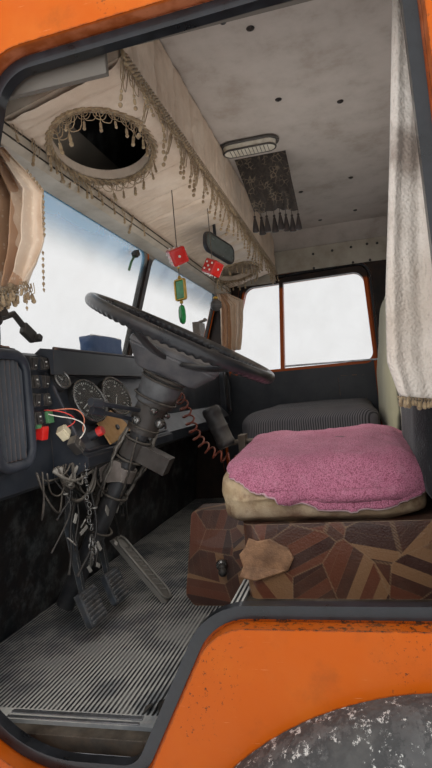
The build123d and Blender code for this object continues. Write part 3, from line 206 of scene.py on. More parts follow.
# %% [markdown]
# Four effects turn up on nearly every surface of a cab this old, so each is a group. Patches are the
# uneven fading of any large surface. Rubbed edges compare the true normal with one rounded by a Bevel
# node: they differ only near an edge, where hands and boots wear a finish away. Dust settles where a
# surface faces up. Grain is the fine relief of leatherette and moulded plastic.

# %% Shared effects
patches, into, out = shader_group(
    "patches",
    [("Scale", "Float", 6.0), ("Amount", "Float", 0.5), ("Softness", "Float", 0.15)],
    [("Mask", "Float")],
)
place = object_place(patches)
cloud = clouds(patches, place, into["Scale"], 7.0, 0.62)
level = number(patches, "SUBTRACT", 1.0, into["Amount"])
low = number(patches, "SUBTRACT", level, into["Softness"])
high = plus(patches, level, into["Softness"])
patches.links.new(ramp(patches, cloud, low, high), out["Mask"])

edges, into, out = shader_group(
    "rubbed edges",
    [("Radius", "Float", 0.004), ("Scale", "Float", 60.0), ("Amount", "Float", 0.5)],
    [("Mask", "Float")],
)
rounded = put(edges, "Bevel", {"Radius": into["Radius"]}, samples=4).outputs["Normal"]
true = put(edges, "NewGeometry").outputs["True Normal"]
facing = put(edges, "VectorMath", {0: rounded, 1: true}, operation="DOT_PRODUCT").outputs["Value"]
away = number(edges, "SUBTRACT", 1.0, facing)
place = object_place(edges)
cloud = clouds(edges, place, into["Scale"], 5.0, 0.7)
broken = times(edges, ramp(edges, away, 0.02, 0.2), ramp(edges, cloud, 0.35, 0.6))
edges.links.new(times(edges, broken, into["Amount"]), out["Mask"])

dust, into, out = shader_group(
    "dust",
    [("Colour", "Color", (0.5, 0.5, 0.5, 1)), ("Dust", "Color", hue(150, 138, 122)),
     ("Amount", "Float", 0.4), ("Scale", "Float", 14.0)],
    [("Colour", "Color"), ("Mask", "Float")],
)
place = object_place(dust)
upward = leaning(dust, "Z", "Normal")
settled = ramp(dust, upward, -0.2, 0.9, 0.22, 1.0)
cloud = clouds(dust, place, into["Scale"], 8.0, 0.68)
lying = times(dust, settled, ramp(dust, cloud, 0.3, 0.72))
lying = times(dust, lying, into["Amount"])
dust.links.new(blend_colour(dust, lying, into["Colour"], into["Dust"]), out["Colour"])
dust.links.new(lying, out["Mask"])

grain, into, out = shader_group(
    "grain",
    [("Scale", "Float", 400.0), ("Depth", "Float", 0.3)],
    [("Height", "Float")],
)
place = object_place(grain)
cells = put(grain, "TexVoronoi", {"Vector": place, "Scale": into["Scale"]}, feature="SMOOTH_F1")
slow = times(grain, into["Scale"], 0.11)
creases = clouds(grain, place, slow, 6.0, 0.6)
height = plus(grain, cells.outputs["Distance"], creases)
grain.links.new(times(grain, height, into["Depth"]), out["Height"])
print("shared groups:", [group.name for group in bpy.data.node_groups])

# %% [markdown]
# Most finishes in the cab differ only in numbers: a colour, a faded second colour, how large the grain
# is, how worn the edges are and how dusty it has become. One function makes them from those numbers.
# The shader itself stays in each material, with its plain values set on its own sockets.

# %% The worn finish
def principled(material):
    return material.node_tree.nodes["Principled BSDF"]


def new_material(name):
    material = bpy.data.materials.new(name)
    material.use_nodes = True
    return material, material.node_tree, principled(material)


def join(tree, socket, shader, label):
    tree.links.new(socket, shader.inputs[label])


def worn(name, colour, faded, rough=0.5, metal=0.0, scale=7.0, fade=0.5, grain_scale=500.0,
         depth=0.12, relief=0.0006, wear=None, wear_amount=0.6, wear_radius=0.004, dusty=0.3,
         dust_colour=hue(150, 138, 122), sheen=0.0, coat=0.0, extra=None):
    """A finish with fading, grain, rubbed edges and dust; extra(tree, colour) may paint over it."""
    material, tree, shader = new_material(name)
    mask = use(tree, patches, Scale=scale, Amount=fade, Softness=0.2)["Mask"]
    painted = blend_colour(tree, mask, colour, faded)
    if extra:
        painted = extra(tree, painted)
    if wear:
        rubbed = use(tree, edges, Radius=wear_radius, Amount=wear_amount)["Mask"]
        painted = blend_colour(tree, rubbed, painted, wear)
    dusted = use(tree, dust, Colour=painted, Dust=dust_colour, Amount=dusty, Scale=11.0)
    join(tree, dusted["Colour"], shader, "Base Color")
    roughness = plus(tree, rough - 0.06, times(tree, mask, 0.12))
    roughness = plus(tree, roughness, times(tree, dusted["Mask"], 0.35))
    join(tree, roughness, shader, "Roughness")
    shader.inputs["Metallic"].default_value = metal
    shader.inputs["Sheen Weight"].default_value = sheen
    shader.inputs["Coat Weight"].default_value = coat
    height = use(tree, grain, Scale=grain_scale, Depth=depth)["Height"]
    bump = put(tree, "Bump", {"Height": height, "Distance": relief, "Strength": 1.0})
    join(tree, bump.outputs["Normal"], shader, "Normal")
    return material


def dress(names, material):
    """Gives CAD nodes a material."""
    for name in names.split():
        target = nodes[name]
        target.data.materials.clear()
        target.data.materials.append(material)
    print(material.name, "on", names)


print("parts waiting for a finish:", len(nodes))

# %% [markdown]
# The paint comes first because the picture is framed by it. It is a thick brush-touched orange, faded
# paler where the sun falls, chipped to primer and rust on every edge that boots and doors strike. Inside
# the doorway's rebate it has gone a brownish pink.

# %% Paint
SILL_EDGE = 0.550
RUSTY_BROWN = hue(70, 42, 30)


def paint_marks(tree, colour):
    """Brush streaks, chips down to brown primer and dark grime."""
    place = object_place(tree)
    stretched = {"Vector": place, "Scale": (5.0, 7.0, 130.0), "Rotation": (0.35, 0.0, 0.2)}
    chips = clouds(tree, place, 105.0, 6.0, 0.75)
    zone = clouds(tree, place, 5.0, 3.0)
    many = times(tree, ramp(tree, chips, 0.59, 0.62), ramp(tree, zone, 0.52, 0.62))
    sill_edge = number(tree, "COMPARE", coordinate(tree, "Z"), SILL_EDGE, 0.014)
    knocked = times(tree, ramp(tree, chips, 0.53, 0.56), sill_edge)
    colour = blend_colour(tree, either(tree, many, knocked), colour, RUSTY_BROWN)
    scratch = clouds(tree, put(tree, "Mapping", stretched).outputs[0], 1.6, 5.0, 0.7)
    scuffed = times(tree, ramp(tree, scratch, 0.66, 0.72), 0.4)
    colour = blend_colour(tree, scuffed, colour, hue(236, 176, 130))
    grime = clouds(tree, place, 9.0, 9.0, 0.7)
    dirty = times(tree, ramp(tree, grime, 0.52, 0.8), 0.4)
    return blend_colour(tree, dirty, colour, hue(120, 62, 22))


ORANGE = hue(192, 86, 8)
FADED_ORANGE = hue(198, 98, 22)
PAINT_DUST = hue(196, 140, 96)
orange_paint = worn(
    "orange_paint", ORANGE, FADED_ORANGE, rough=0.36, fade=0.4, grain_scale=90.0, depth=0.25,
    relief=0.0005, wear=hue(60, 44, 38), wear_amount=0.9, dusty=0.15, dust_colour=PAINT_DUST, coat=0.25,
    extra=paint_marks,
)
dress("access_lid driver_door_shell", orange_paint)


def far_marks(tree, colour):
    """The closed door is browner on the cab's side."""
    colour = paint_marks(tree, colour)
    within = ramp(tree, coordinate(tree, "X"), -1.192, -1.186)
    colour = blend_colour(tree, times(tree, within, 0.75), colour, hue(150, 66, 24))
    level = ramp(tree, number(tree, "ABSOLUTE", leaning(tree, "Z")), 0.3, 0.5)
    rail = times(tree, level, ramp(tree, coordinate(tree, "X"), -1.16, -1.15))
    top = times(tree, within, ramp(tree, coordinate(tree, "Z"), 1.50, 1.52))
    return blend_colour(tree, either(tree, rail, top), colour, hue(38, 34, 33))


far_paint = worn(
    "far_door_paint", ORANGE, FADED_ORANGE, rough=0.42, fade=0.4, grain_scale=90.0, depth=0.25, relief=0.0005,
    wear=hue(60, 44, 38), wear_amount=0.8, dusty=0.15, dust_colour=PAINT_DUST, coat=0.1, extra=far_marks,
)
dress("passenger_door_shell", far_paint)


def shell_marks(tree, colour):
    """Orange outside; faces that look back into the cab or face down are dark grey in clouds."""
    colour = paint_marks(tree, colour)
    in_front = ramp(tree, coordinate(tree, "Y"), 0.8, 0.7)
    rearward = times(tree, ramp(tree, leaning(tree, "Y"), 0.3, 0.5), in_front)
    within = either(tree, rearward, ramp(tree, leaning(tree, "Z"), -0.3, -0.5))
    cloud = clouds(tree, object_place(tree), 12.0, 8.0, 0.7)
    dark_inside = blend_colour(tree, ramp(tree, cloud, 0.45, 0.68), hue(26, 30, 34), hue(84, 88, 88))
    return blend_colour(tree, within, colour, dark_inside)


shell_paint = worn(
    "shell_paint", ORANGE, FADED_ORANGE, rough=0.38, fade=0.4, grain_scale=90.0, depth=0.25, relief=0.0005,
    wear=hue(60, 44, 38), wear_amount=0.8, dusty=0.15, dust_colour=PAINT_DUST, coat=0.2, extra=shell_marks,
)
dress("roof_panel front_panel", shell_paint)


def post_marks(tree, colour):
    """Middle post and inner faces: beige above 1.49 m, dark below; on inner faces the dark is painted shade.
    """
    colour = paint_marks(tree, colour)
    dark_post = ramp(tree, number(tree, "ABSOLUTE", coordinate(tree, "X")), 0.022, 0.018)
    rear = ramp(tree, leaning(tree, "Y"), 0.5, 0.7)
    high = ramp(tree, coordinate(tree, "Z"), 1.485, 1.492)
    # Painted shade: below the lining the inner faces are painted near black, as the frame is backlit.
    inner = blend_colour(tree, high, hue(30, 27, 26), hue(128, 122, 112))
    return blend_colour(tree, either(tree, dark_post, rear), colour, inner)


frame_paint = worn(
    "windscreen_frame_paint", ORANGE, FADED_ORANGE, rough=0.45, wear=hue(60, 44, 38), dusty=0.2,
    dust_colour=PAINT_DUST, extra=post_marks,
)
dress("windscreen_frame", frame_paint)


def inner_marks(tree, colour):
    """Within the cab and high in the doorway the paint has gone pink and brown."""
    colour = paint_marks(tree, colour)
    high = ramp(tree, coordinate(tree, "Z"), 1.2, 1.56)
    across = number(tree, "ABSOLUTE", coordinate(tree, "X"))
    within = ramp(tree, across, 1.199, 1.190)
    cloud = clouds(tree, object_place(tree), 24.0, 8.0)
    aged = blend_colour(tree, ramp(tree, cloud, 0.35, 0.65), hue(140, 74, 40), hue(188, 118, 84))
    colour = blend_colour(tree, times(tree, times(tree, high, within), 0.85), colour, aged)
    sideways = ramp(tree, number(tree, "ABSOLUTE", leaning(tree, "X")), 0.6, 0.8)
    lining = times(tree, ramp(tree, across, 1.146, 1.144), sideways)
    return blend_colour(tree, lining, colour, hue(36, 34, 34))


side_paint = worn(
    "side_frame_paint", ORANGE, FADED_ORANGE, rough=0.38, fade=0.4, grain_scale=90.0, depth=0.25,
    relief=0.0006, wear=hue(52, 40, 36), wear_amount=0.95, wear_radius=0.006, dusty=0.15,
    dust_colour=PAINT_DUST, coat=0.2, extra=inner_marks,
)
dress("side_frame_left side_frame_right", side_paint)


def two_sided(tree, colour):
    """Orange outside, grubby beige board inside."""
    rear = leaning(tree, "Y")
    return blend_colour(tree, ramp(tree, rear, -0.5, -0.7), paint_marks(tree, colour), hue(120, 104, 84))


rear_paint = worn(
    "rear_wall_paint", ORANGE, FADED_ORANGE, rough=0.45, wear=hue(52, 40, 36), dusty=0.15,
    dust_colour=PAINT_DUST, extra=two_sided,
)
dress("rear_wall", rear_paint)
for paint in (orange_paint, far_paint, shell_paint, frame_paint, side_paint, rear_paint):
    principled(paint).inputs["Specular IOR Level"].default_value = 0.16
    principled(paint).inputs["Coat Weight"].default_value = 0.06

# %% [markdown]
# Rubber has almost no colour of its own: what tells it from plastic is a soft sheen on the bulges and
# chalk in the hollows. The door seal is newer than the rest and catches the sky along its upper side, so
# it is smoother and has a coat. Trim, dashboard and column are black plastic under years of road dust.

# %% Rubber and plastic
door_rubber = worn(
    "door_rubber", hue(15, 17, 20), hue(28, 31, 36), rough=0.32, scale=22.0, grain_scale=300.0, depth=0.12,
    relief=0.0006, dusty=0.15, dust_colour=hue(98, 100, 104), coat=0.35,
)
dress("door_seals", door_rubber)


def seal_marks(tree, colour):
    """The upper run of the seal is grey with glue and lining."""
    return blend_colour(tree, ramp(tree, coordinate(tree, "Z"), 1.45, 1.48), colour, hue(122, 117, 108))


window_rubber = worn(
    "window_rubber", hue(24, 24, 25), hue(44, 43, 42), rough=0.55, dusty=0.25, extra=seal_marks,
)
dress("windscreen_seals", window_rubber)
DUST = hue(112, 110, 108)
dash_plastic = worn(
    "dash_plastic", hue(24, 28, 35), hue(38, 41, 46), rough=0.34, scale=12.0, grain_scale=700.0, depth=0.14,
    relief=0.0005, wear=hue(104, 84, 66), wear_amount=0.5, dusty=0.34, dust_colour=DUST,
)
dress("dashboard dash_controls stalks driver_door_trim passenger_door_trim inside_mirror", dash_plastic)
vent_plastic = worn(
    "vent_plastic", hue(26, 31, 38), hue(42, 44, 50), rough=0.34, scale=16.0, grain_scale=600.0, depth=0.1,
    relief=0.0005, wear=hue(134, 98, 72), wear_amount=0.5, wear_radius=0.004, dusty=0.2, dust_colour=DUST,
)
dress("vent_grilles", vent_plastic)


def shroud_marks(tree, colour):
    """Only the cap under the wheel is pale; the housings below it are black."""
    low = ramp(tree, coordinate(tree, "Z"), 0.925, 0.915)
    return blend_colour(tree, low, colour, hue(44, 38, 34))


shroud = worn(
    "shroud_plastic", hue(84, 84, 84), hue(58, 58, 60), rough=0.45, scale=20.0, grain_scale=500.0,
    depth=0.1, relief=0.0005, wear=hue(60, 56, 52), wear_amount=0.5, dusty=0.5,
    dust_colour=hue(130, 126, 120), extra=shroud_marks,
)
dress("column_shroud", shroud)
COLUMN_TOP = (0.68, 0.362, 1.086)
COLUMN_RUNS = (0.0, 0.5, 0.866)


def column_marks(tree, colour):
    """The lock's housing, off the column's side, is worn grey metal."""
    place = object_place(tree)
    off = put(tree, "VectorMath", {0: place, 1: COLUMN_TOP}, operation="SUBTRACT").outputs[0]
    across = put(tree, "VectorMath", {0: off, 1: COLUMN_RUNS}, operation="CROSS_PRODUCT").outputs[0]
    radial = put(tree, "VectorMath", {0: across}, operation="LENGTH").outputs["Value"]
    low = ramp(tree, coordinate(tree, "Z"), 0.86, 0.85)
    lock = times(tree, ramp(tree, radial, 0.046, 0.050), low)
    return blend_colour(tree, lock, colour, hue(124, 112, 104))


column_paint = worn(
    "column_paint", hue(32, 34, 38), hue(54, 54, 56), rough=0.4, scale=18.0, grain_scale=300.0, depth=0.1,
    relief=0.0005, wear=hue(156, 150, 142), wear_amount=0.8, dusty=0.25, extra=column_marks,
)
dress("steering_column", column_paint)
clamp_grey = worn(
    "clamp_grey", hue(112, 102, 96), hue(84, 76, 70), rough=0.5, scale=30.0, grain_scale=300.0, depth=0.15,
    relief=0.0006, wear=hue(170, 160, 148), wear_amount=0.8, dusty=0.4,
)
dress("column_clamp", clamp_grey)
wheel_rubber = worn(
    "wheel_rubber", hue(26, 28, 32), hue(38, 39, 42), rough=0.3, scale=18.0, grain_scale=900.0, depth=0.1,
    relief=0.0004, wear=hue(110, 104, 100), wear_amount=0.4, dusty=0.2, coat=0.15,
)
dress("steering_wheel", wheel_rubber)

# %% [markdown]
# The ceiling and the boards over the doors are a pale grey-beige vinyl, stained brown near the edges.
# The header rail carries two black rubber beads, which are drawn as stripes by height.

# %% Linings
RAIL_BEADS_Z = (1.517, 1.541)


def stains(tree, colour):
    """Brown clouds, as damp and smoke leave."""
    cloud = clouds(tree, object_place(tree), 7.0, 9.0, 0.7)
    stain = times(tree, ramp(tree, cloud, 0.5, 0.75), 0.34)
    return blend_colour(tree, stain, colour, hue(128, 108, 86))


def rail_beads(tree, colour):
    """Two dark stripes along the rail's rear face."""
    high = coordinate(tree, "Z")
    stripes = either(tree, *[number(tree, "COMPARE", high, z, 0.0025) for z in RAIL_BEADS_Z])
    bead_mask = times(tree, stripes, ramp(tree, leaning(tree, "Y"), 0.8, 0.9))
    return blend_colour(tree, bead_mask, stains(tree, colour), hue(24, 23, 23))


liner = worn(
    "headliner_vinyl", hue(184, 175, 167), hue(168, 159, 151), rough=0.7, dusty=0.1, extra=stains,
)
dress("headliner", liner)


def trim_stains_and_shade(tree, colour):
    """Brown stains, and painted shade: the boards of the driver's side are painted darker."""
    shaded_side = ramp(tree, coordinate(tree, "X"), 0.8, 0.9)
    return blend_colour(tree, shaded_side, stains(tree, colour), hue(104, 98, 90))


trim_plastic = worn(
    "trim_plastic", hue(172, 164, 150), hue(150, 142, 128), rough=0.6, grain_scale=600.0, dusty=0.2,
    wear=hue(60, 58, 56), wear_amount=0.5, extra=trim_stains_and_shade,
)
dress("header_trims", trim_plastic)
rail = worn("header_rail_vinyl", hue(196, 186, 170), hue(172, 162, 146), dusty=0.1, extra=rail_beads)
dress("header_rail", rail)
tan_leatherette = worn(
    "tan_leatherette", hue(226, 208, 188), hue(208, 186, 164), rough=0.5, scale=9.0, grain_scale=420.0,
    depth=0.3, relief=0.0011, wear=hue(128, 98, 68), wear_amount=0.5, wear_radius=0.007, dusty=0.1, coat=0.1,
    extra=stains,
)
dress("overhead_shelf", tan_leatherette)

# %% [markdown]
# Metal in the cab is either painted and chipped or rubbed bare. The mudguards were black once and are
# now caked with dried mud.

# %% Metal and mud
steel = worn(
    "worn_steel", hue(120, 116, 110), hue(92, 84, 74), rough=0.42, metal=0.7, scale=26.0, grain_scale=300.0,
    depth=0.1, relief=0.0005, wear=hue(190, 186, 180), wear_amount=0.8, dusty=0.4,
)
dress("lid_hinge_ears driver_door_hinges passenger_door_hinges", steel)
dress("driver_door_handle passenger_door_handle", steel)
dark_steel = worn(
    "dark_steel", hue(40, 37, 34), hue(70, 58, 46), rough=0.55, metal=0.3, scale=20.0, grain_scale=240.0,
    depth=0.2, relief=0.0008, wear=hue(120, 108, 96), wear_amount=0.8, dusty=0.5,
)
dress("tilt_brackets rear_rests floor_pan engine_cover gear_lever", dark_steel)
dress("outside_mirrors wipers charm_wires", dark_steel)


def splashes(tree, colour):
    """Bare black rubber shows through the mud, and lime has left white specks."""
    place = object_place(tree)
    cloud = clouds(tree, place, 11.0, 10.0, 0.78)
    colour = blend_colour(tree, ramp(tree, cloud, 0.42, 0.5), colour, hue(38, 39, 42))
    specks = clouds(tree, place, 46.0, 8.0, 0.8)
    return blend_colour(tree, ramp(tree, specks, 0.57, 0.61), colour, hue(214, 211, 204))


mud = worn(
    "dried_mud", hue(96, 94, 92), hue(70, 69, 68), rough=0.7, scale=12.0, fade=0.5, grain_scale=120.0,
    depth=0.6, relief=0.003, dusty=0.35, dust_colour=hue(150, 146, 138), extra=splashes,
)
dress("mudguards", mud)


def pedal_marks(tree, colour):
    """The throttle plate is paler metal than the pads."""
    right_side = ramp(tree, coordinate(tree, "X"), 0.56, 0.54)
    return blend_colour(tree, right_side, colour, hue(134, 130, 124))


pedal_metal = worn(
    "pedal_metal", hue(72, 80, 88), hue(56, 56, 56), rough=0.5, metal=0.4, scale=24.0, grain_scale=200.0,
    depth=0.2, relief=0.0008, wear=hue(176, 172, 164), wear_amount=0.9, dusty=0.5, extra=pedal_marks,
)
dress("pedals", pedal_metal)

# %% [markdown]
# The floor mat is ribbed rubber. Its ribs are about 10 mm apart and run across the cab, with a smooth border
# along the sill, so their height is a wave of the Y coordinate that a mask switches off near the edge.

# %% Floor mat
RIB_PITCH = 0.0105
mat_rubber, tree, shader = new_material("mat_rubber")
mask = use(tree, patches, Scale=9.0, Amount=0.5, Softness=0.2)["Mask"]
rust = use(tree, patches, Scale=17.0, Amount=0.42, Softness=0.06)["Mask"]
tone = blend_colour(tree, mask, hue(92, 99, 105), hue(116, 119, 120))
tone = blend_colour(tree, times(tree, rust, 0.2), tone, hue(104, 78, 56))
dusted = use(tree, dust, Colour=tone, Dust=hue(200, 196, 186), Amount=1.5, Scale=4.0)
trodden = clouds(tree, object_place(tree), 8.0, 9.0, 0.65)
earth = times(tree, ramp(tree, trodden, 0.48, 0.66), 0.75)
earthy = blend_colour(tree, earth, dusted["Colour"], hue(150, 148, 142))
along = times(tree, coordinate(tree, "Y"), 2 * math.pi / RIB_PITCH)
rib = ramp(tree, number(tree, "SINE", along), -0.5, 0.35)
border = ramp(tree, coordinate(tree, "X"), 1.075, 1.07)
groove = times(tree, number(tree, "SUBTRACT", 1.0, rib), border)
# Painted shade: the grooves between the ribs are painted dark, less so where trodden earth lies in them.
painted_groove_shade = times(tree, groove, number(tree, "SUBTRACT", 1.0, times(tree, earth, 0.7)))
join(tree, blend_colour(tree, painted_groove_shade, earthy, hue(34, 35, 38)), shader, "Base Color")
shader.inputs["Roughness"].default_value = 0.7
height = times(tree, rib, border)
fine = use(tree, grain, Scale=300.0, Depth=0.2)["Height"]
bump = put(tree, "Bump", {"Height": plus(tree, height, fine), "Distance": 0.003})
join(tree, bump.outputs["Normal"], shader, "Normal")
dress("floor_mat", mat_rubber)

# %% [markdown]
# Old glass is told by what lies on it: a film that is thicker towards the corners. It is made by Alpha,
# so that daylight still comes straight through into the cab. The windscreen's top has a blue sun band.

# %% Glass
pane, tree, shader = new_material("pane_glass")
film = use(tree, patches, Scale=5.0, Amount=0.5, Softness=0.3)["Mask"]
in_front = ramp(tree, coordinate(tree, "Y"), 0.2, 0.1)
sun_band = times(tree, ramp(tree, coordinate(tree, "Z"), 1.36, 1.49), in_front)
veil = plus(tree, times(tree, film, 0.05), times(tree, sun_band, 0.4))
join(tree, plus(tree, 0.07, veil), shader, "Alpha")
smeared = blend_colour(tree, film, hue(196, 206, 208), hue(206, 200, 188))
join(tree, blend_colour(tree, sun_band, smeared, hue(96, 178, 222)), shader, "Base Color")
shader.inputs["Roughness"].default_value = 0.06
dress("windscreen_glass rear_glass driver_door_glass passenger_door_glass", pane)
lens, tree, shader = new_material("lamp_lens")
film = use(tree, patches, Scale=40.0, Amount=0.5, Softness=0.3)["Mask"]
join(tree, blend_colour(tree, film, hue(226, 222, 208), hue(200, 190, 170)), shader, "Base Color")
shader.inputs["Roughness"].default_value = 0.2
shader.inputs["Coat Weight"].default_value = 0.5
dress("roof_lamp", lens)
amber, tree, shader = new_material("amber_lens")
rings = put(tree, "TexWave", {"Scale": 60.0, "Distortion": 0.0}, wave_type="RINGS")
ringed = blend_colour(tree, rings.outputs["Fac"], hue(214, 110, 22), hue(240, 150, 50))
join(tree, ringed, shader, "Base Color")
shader.inputs["Roughness"].default_value = 0.15
dress("corner_lamps", amber)

# %% [markdown]
# Leatherette left over from other jobs covers the seat boxes: strips and wedges of several browns, sewn
# together at every angle. Voronoi cells give the patches. Each cell's own colour, which is random, picks
# the direction and shades of the strips inside it, and the distance to its edge draws the seam.

# %% Patchwork leatherette
STRIP_WIDE = 0.024


def patchwork(tree, colour):
    """Sewn patches, each cut into strips of its own direction."""
    place = object_place(tree)
    flat = put(tree, "Mapping", {"Vector": place, "Rotation": (0.3, 0.5, 0.4)}).outputs[0]
    cells = put(tree, "TexVoronoi", {"Vector": flat, "Scale": 10.5})
    lines = put(tree, "TexVoronoi", {"Vector": flat, "Scale": 10.5}, feature="DISTANCE_TO_EDGE")
    own = put(tree, "SeparateColor", {0: cells.outputs["Color"]}).outputs
    angle = times(tree, own["Red"], math.pi)
    parts = put(tree, "SeparateXYZ", {0: place}).outputs
    level = times(tree, plus(tree, parts["X"], parts["Y"]), number(tree, "COSINE", angle))
    upright = times(tree, parts["Z"], number(tree, "SINE", angle))
    strip = number(tree, "DIVIDE", plus(tree, level, upright), STRIP_WIDE)
    which = put(tree, "CombineXYZ", {0: number(tree, "FLOOR", strip), 1: own["Green"]}).outputs[0]
    tone = put(tree, "TexWhiteNoise", {"Vector": which}, noise_dimensions="3D").outputs["Value"]
    colour = blend_colour(tree, ramp(tree, tone, 0.30, 0.32), colour, hue(96, 54, 38))
    colour = blend_colour(tree, ramp(tree, tone, 0.55, 0.57), colour, hue(60, 36, 30))
    colour = blend_colour(tree, ramp(tree, tone, 0.80, 0.82), colour, hue(126, 92, 64))
    beside = number(tree, "FRACT", strip)
    strip_seam = times(tree, ramp(tree, beside, 0.05, 0.03), 0.6)
    seam = either(tree, ramp(tree, lines.outputs["Distance"], 0.022, 0.012), strip_seam)
    slanted = plus(tree, parts["X"], plus(tree, parts["Y"], parts["Z"]))
    dashes = number(tree, "SINE", times(tree, slanted, 900.0))
    sewn = times(tree, seam, ramp(tree, dashes, -0.4, 0.2, 0.2, 0.5))
    return blend_colour(tree, sewn, colour, hue(134, 108, 82))


brown_leatherette = worn(
    "brown_leatherette", hue(80, 48, 36), hue(64, 40, 32), rough=0.34, scale=14.0, grain_scale=260.0,
    depth=0.4, relief=0.0016, wear=hue(160, 136, 108), wear_amount=0.7, dusty=0.22, coat=0.25,
    extra=patchwork,
)
dress("driver_seat_base passenger_seat_base tool_box", brown_leatherette)
seat_twill = worn(
    "seat_twill", hue(58, 56, 58), hue(76, 72, 70), rough=0.85, scale=16.0, grain_scale=900.0, depth=0.4,
    relief=0.001, dusty=0.35, sheen=0.3,
)
dress("driver_cushion driver_backrest passenger_cushion passenger_backrest", seat_twill)


def curtain_stripe(tree, colour):
    """A tan stripe down the satin, and a woven figure of small dots."""
    place = object_place(tree)
    bent = clouds(tree, place, 6.0, 1.0)
    across = plus(tree, coordinate(tree, "Y"), times(tree, bent, 0.05))
    inside = number(tree, "COMPARE", across, 0.138, 0.022)
    colour = blend_colour(tree, times(tree, inside, 0.7), colour, hue(168, 112, 62))
    dots = put(tree, "TexVoronoi", {"Vector": place, "Scale": 70.0}).outputs["Distance"]
    return blend_colour(tree, times(tree, ramp(tree, dots, 0.25, 0.18), 0.35), colour, hue(238, 222, 196))


curtain_gold = worn(
    "curtain_satin", hue(226, 202, 176), hue(200, 172, 144), rough=0.38, scale=9.0, grain_scale=900.0,
    depth=0.2, dusty=0.08, sheen=0.4, coat=0.1, extra=curtain_stripe,
)
dress("curtains", curtain_gold)


def lace(tree, colour):
    """Pale flowers and meshes of a lace, over the dark cloth."""
    place = object_place(tree)
    mesh = put(tree, "TexVoronoi", {"Vector": place, "Scale": 60.0}, feature="DISTANCE_TO_EDGE")
    threads = ramp(tree, mesh.outputs["Distance"], 0.10, 0.05)
    cloud = clouds(tree, place, 26.0, 4.0)
    shown = times(tree, threads, ramp(tree, cloud, 0.45, 0.58, 0.05, 0.6))
    return blend_colour(tree, shown, colour, hue(138, 124, 104))


velvet = worn(
    "valance_velvet", hue(38, 33, 32), hue(58, 52, 48), rough=0.8, scale=60.0, grain_scale=500.0, depth=0.6,
    relief=0.002, dusty=0.2, sheen=0.1, extra=lace,
)
dress("valance", velvet)
die_red = worn("die_resin", hue(186, 30, 24), hue(170, 24, 20), rough=0.25, dusty=0.1, coat=0.5)
dress("charms", die_red)
hose_rubber = worn("hose_rubber", hue(122, 54, 34), hue(88, 42, 30), rough=0.45, dusty=0.3)
dress("lever_hose", hose_rubber)
undressed = [name for name, target in nodes.items() if len(target.data.materials) != 1]
print("nodes without a finish:", undressed)

# %% [markdown]
# Most of what hangs in this cab and lines it is made from a few shapes: a skin over rings of points, a
# tube that follows a path, a woven grid, a bead, a disc and a block with softened edges. Each is added to
# a bmesh, so that one piece can hold many.

# %% Mesh helpers
MM = 0.001


def angles(count):
    """Angles spread evenly round a full turn."""
    return [2 * math.pi * k / count for k in range(count)]


def skin(bm, rings, closed=False):
    """Joins rings of equally many points into one closed surface."""
    made = [[bm.verts.new(point) for point in ring] for ring in rings]
    pairs = list(zip(made, made[1:])) + ([(made[-1], made[0])] if closed else [])
    count = len(made[0])
    for one, two in pairs:
        for k in range(count):
            bm.faces.new((one[k], one[(k + 1) % count], two[(k + 1) % count], two[k]))
    if not closed:
        bm.faces.new(made[0][::-1])
        bm.faces.new(made[-1])


def tube(bm, points, radius, sides=8, closed=False):
    """A tube along points; radius is one number or one for each point."""
    points = [Vector(p) for p in points]
    radii = [radius] * len(points) if isinstance(radius, (int, float)) else radius
    count = len(points)
    side = None
    rings = []
    for n, point in enumerate(points):
        after = points[(n + 1) % count] if closed else points[min(n + 1, count - 1)]
        before = points[(n - 1) % count] if closed else points[max(n - 1, 0)]
        along = (after - before).normalized()
        if side is None:
            side = along.orthogonal().normalized()
        side = (side - along * side.dot(along)).normalized()
        third = along.cross(side)
        rings.append([
            point + radii[n] * (side * math.cos(angle) + third * math.sin(angle)) for angle in angles(sides)
        ])
    skin(bm, rings, closed)


def hoop(bm, points, radius, sides=8):
    """A tube that closes on itself."""
    tube(bm, points, radius, sides, True)


def weave(bm, grid, leave_out=None):
    """Faces between the rows of a grid of points."""
    for upper, lower in zip(grid, grid[1:]):
        for column in range(len(upper) - 1):
            corners = (upper[column], upper[column + 1], lower[column + 1], lower[column])
            if not (leave_out and leave_out(corners)):
                bm.faces.new(corners)


def polar(angle, reach, high=0.0):
    """A point over a flat frame, by its angle and its distance from the middle."""
    return Vector((reach * math.cos(angle), reach * math.sin(angle), high))


def rounded(wide, long, radius, steps=6):
    """Points round a rectangle with round corners, in a flat frame."""
    points = []
    for corner, (sx, sy) in enumerate(((1, 1), (-1, 1), (-1, -1), (1, -1))):
        for n in range(steps + 1):
            angle = math.pi / 2 * (corner + n / steps)
            points.append((
                sx * (wide / 2 - radius) + radius * math.cos(angle),
                sy * (long / 2 - radius) + radius * math.sin(angle),
            ))
    return points


def bead(bm, centre, size, sides=8, rings=5):
    """A rounded bead; size is a radius, or radii along X, Y and Z."""
    size = (size, size, size) if isinstance(size, (int, float)) else size
    matrix = Matrix.Translation(centre) @ Matrix.Diagonal((*size, 1))
    bmesh.ops.create_uvsphere(bm, u_segments=sides, v_segments=rings, radius=1, matrix=matrix)


def disc(bm, matrix, radius, thick, segments=48, taper=1.0):
    """A flat disc; a taper makes it a button that narrows."""
    bmesh.ops.create_cone(
        bm, cap_ends=True, segments=segments, radius1=radius, radius2=radius * taper, depth=thick,
        matrix=matrix,
    )


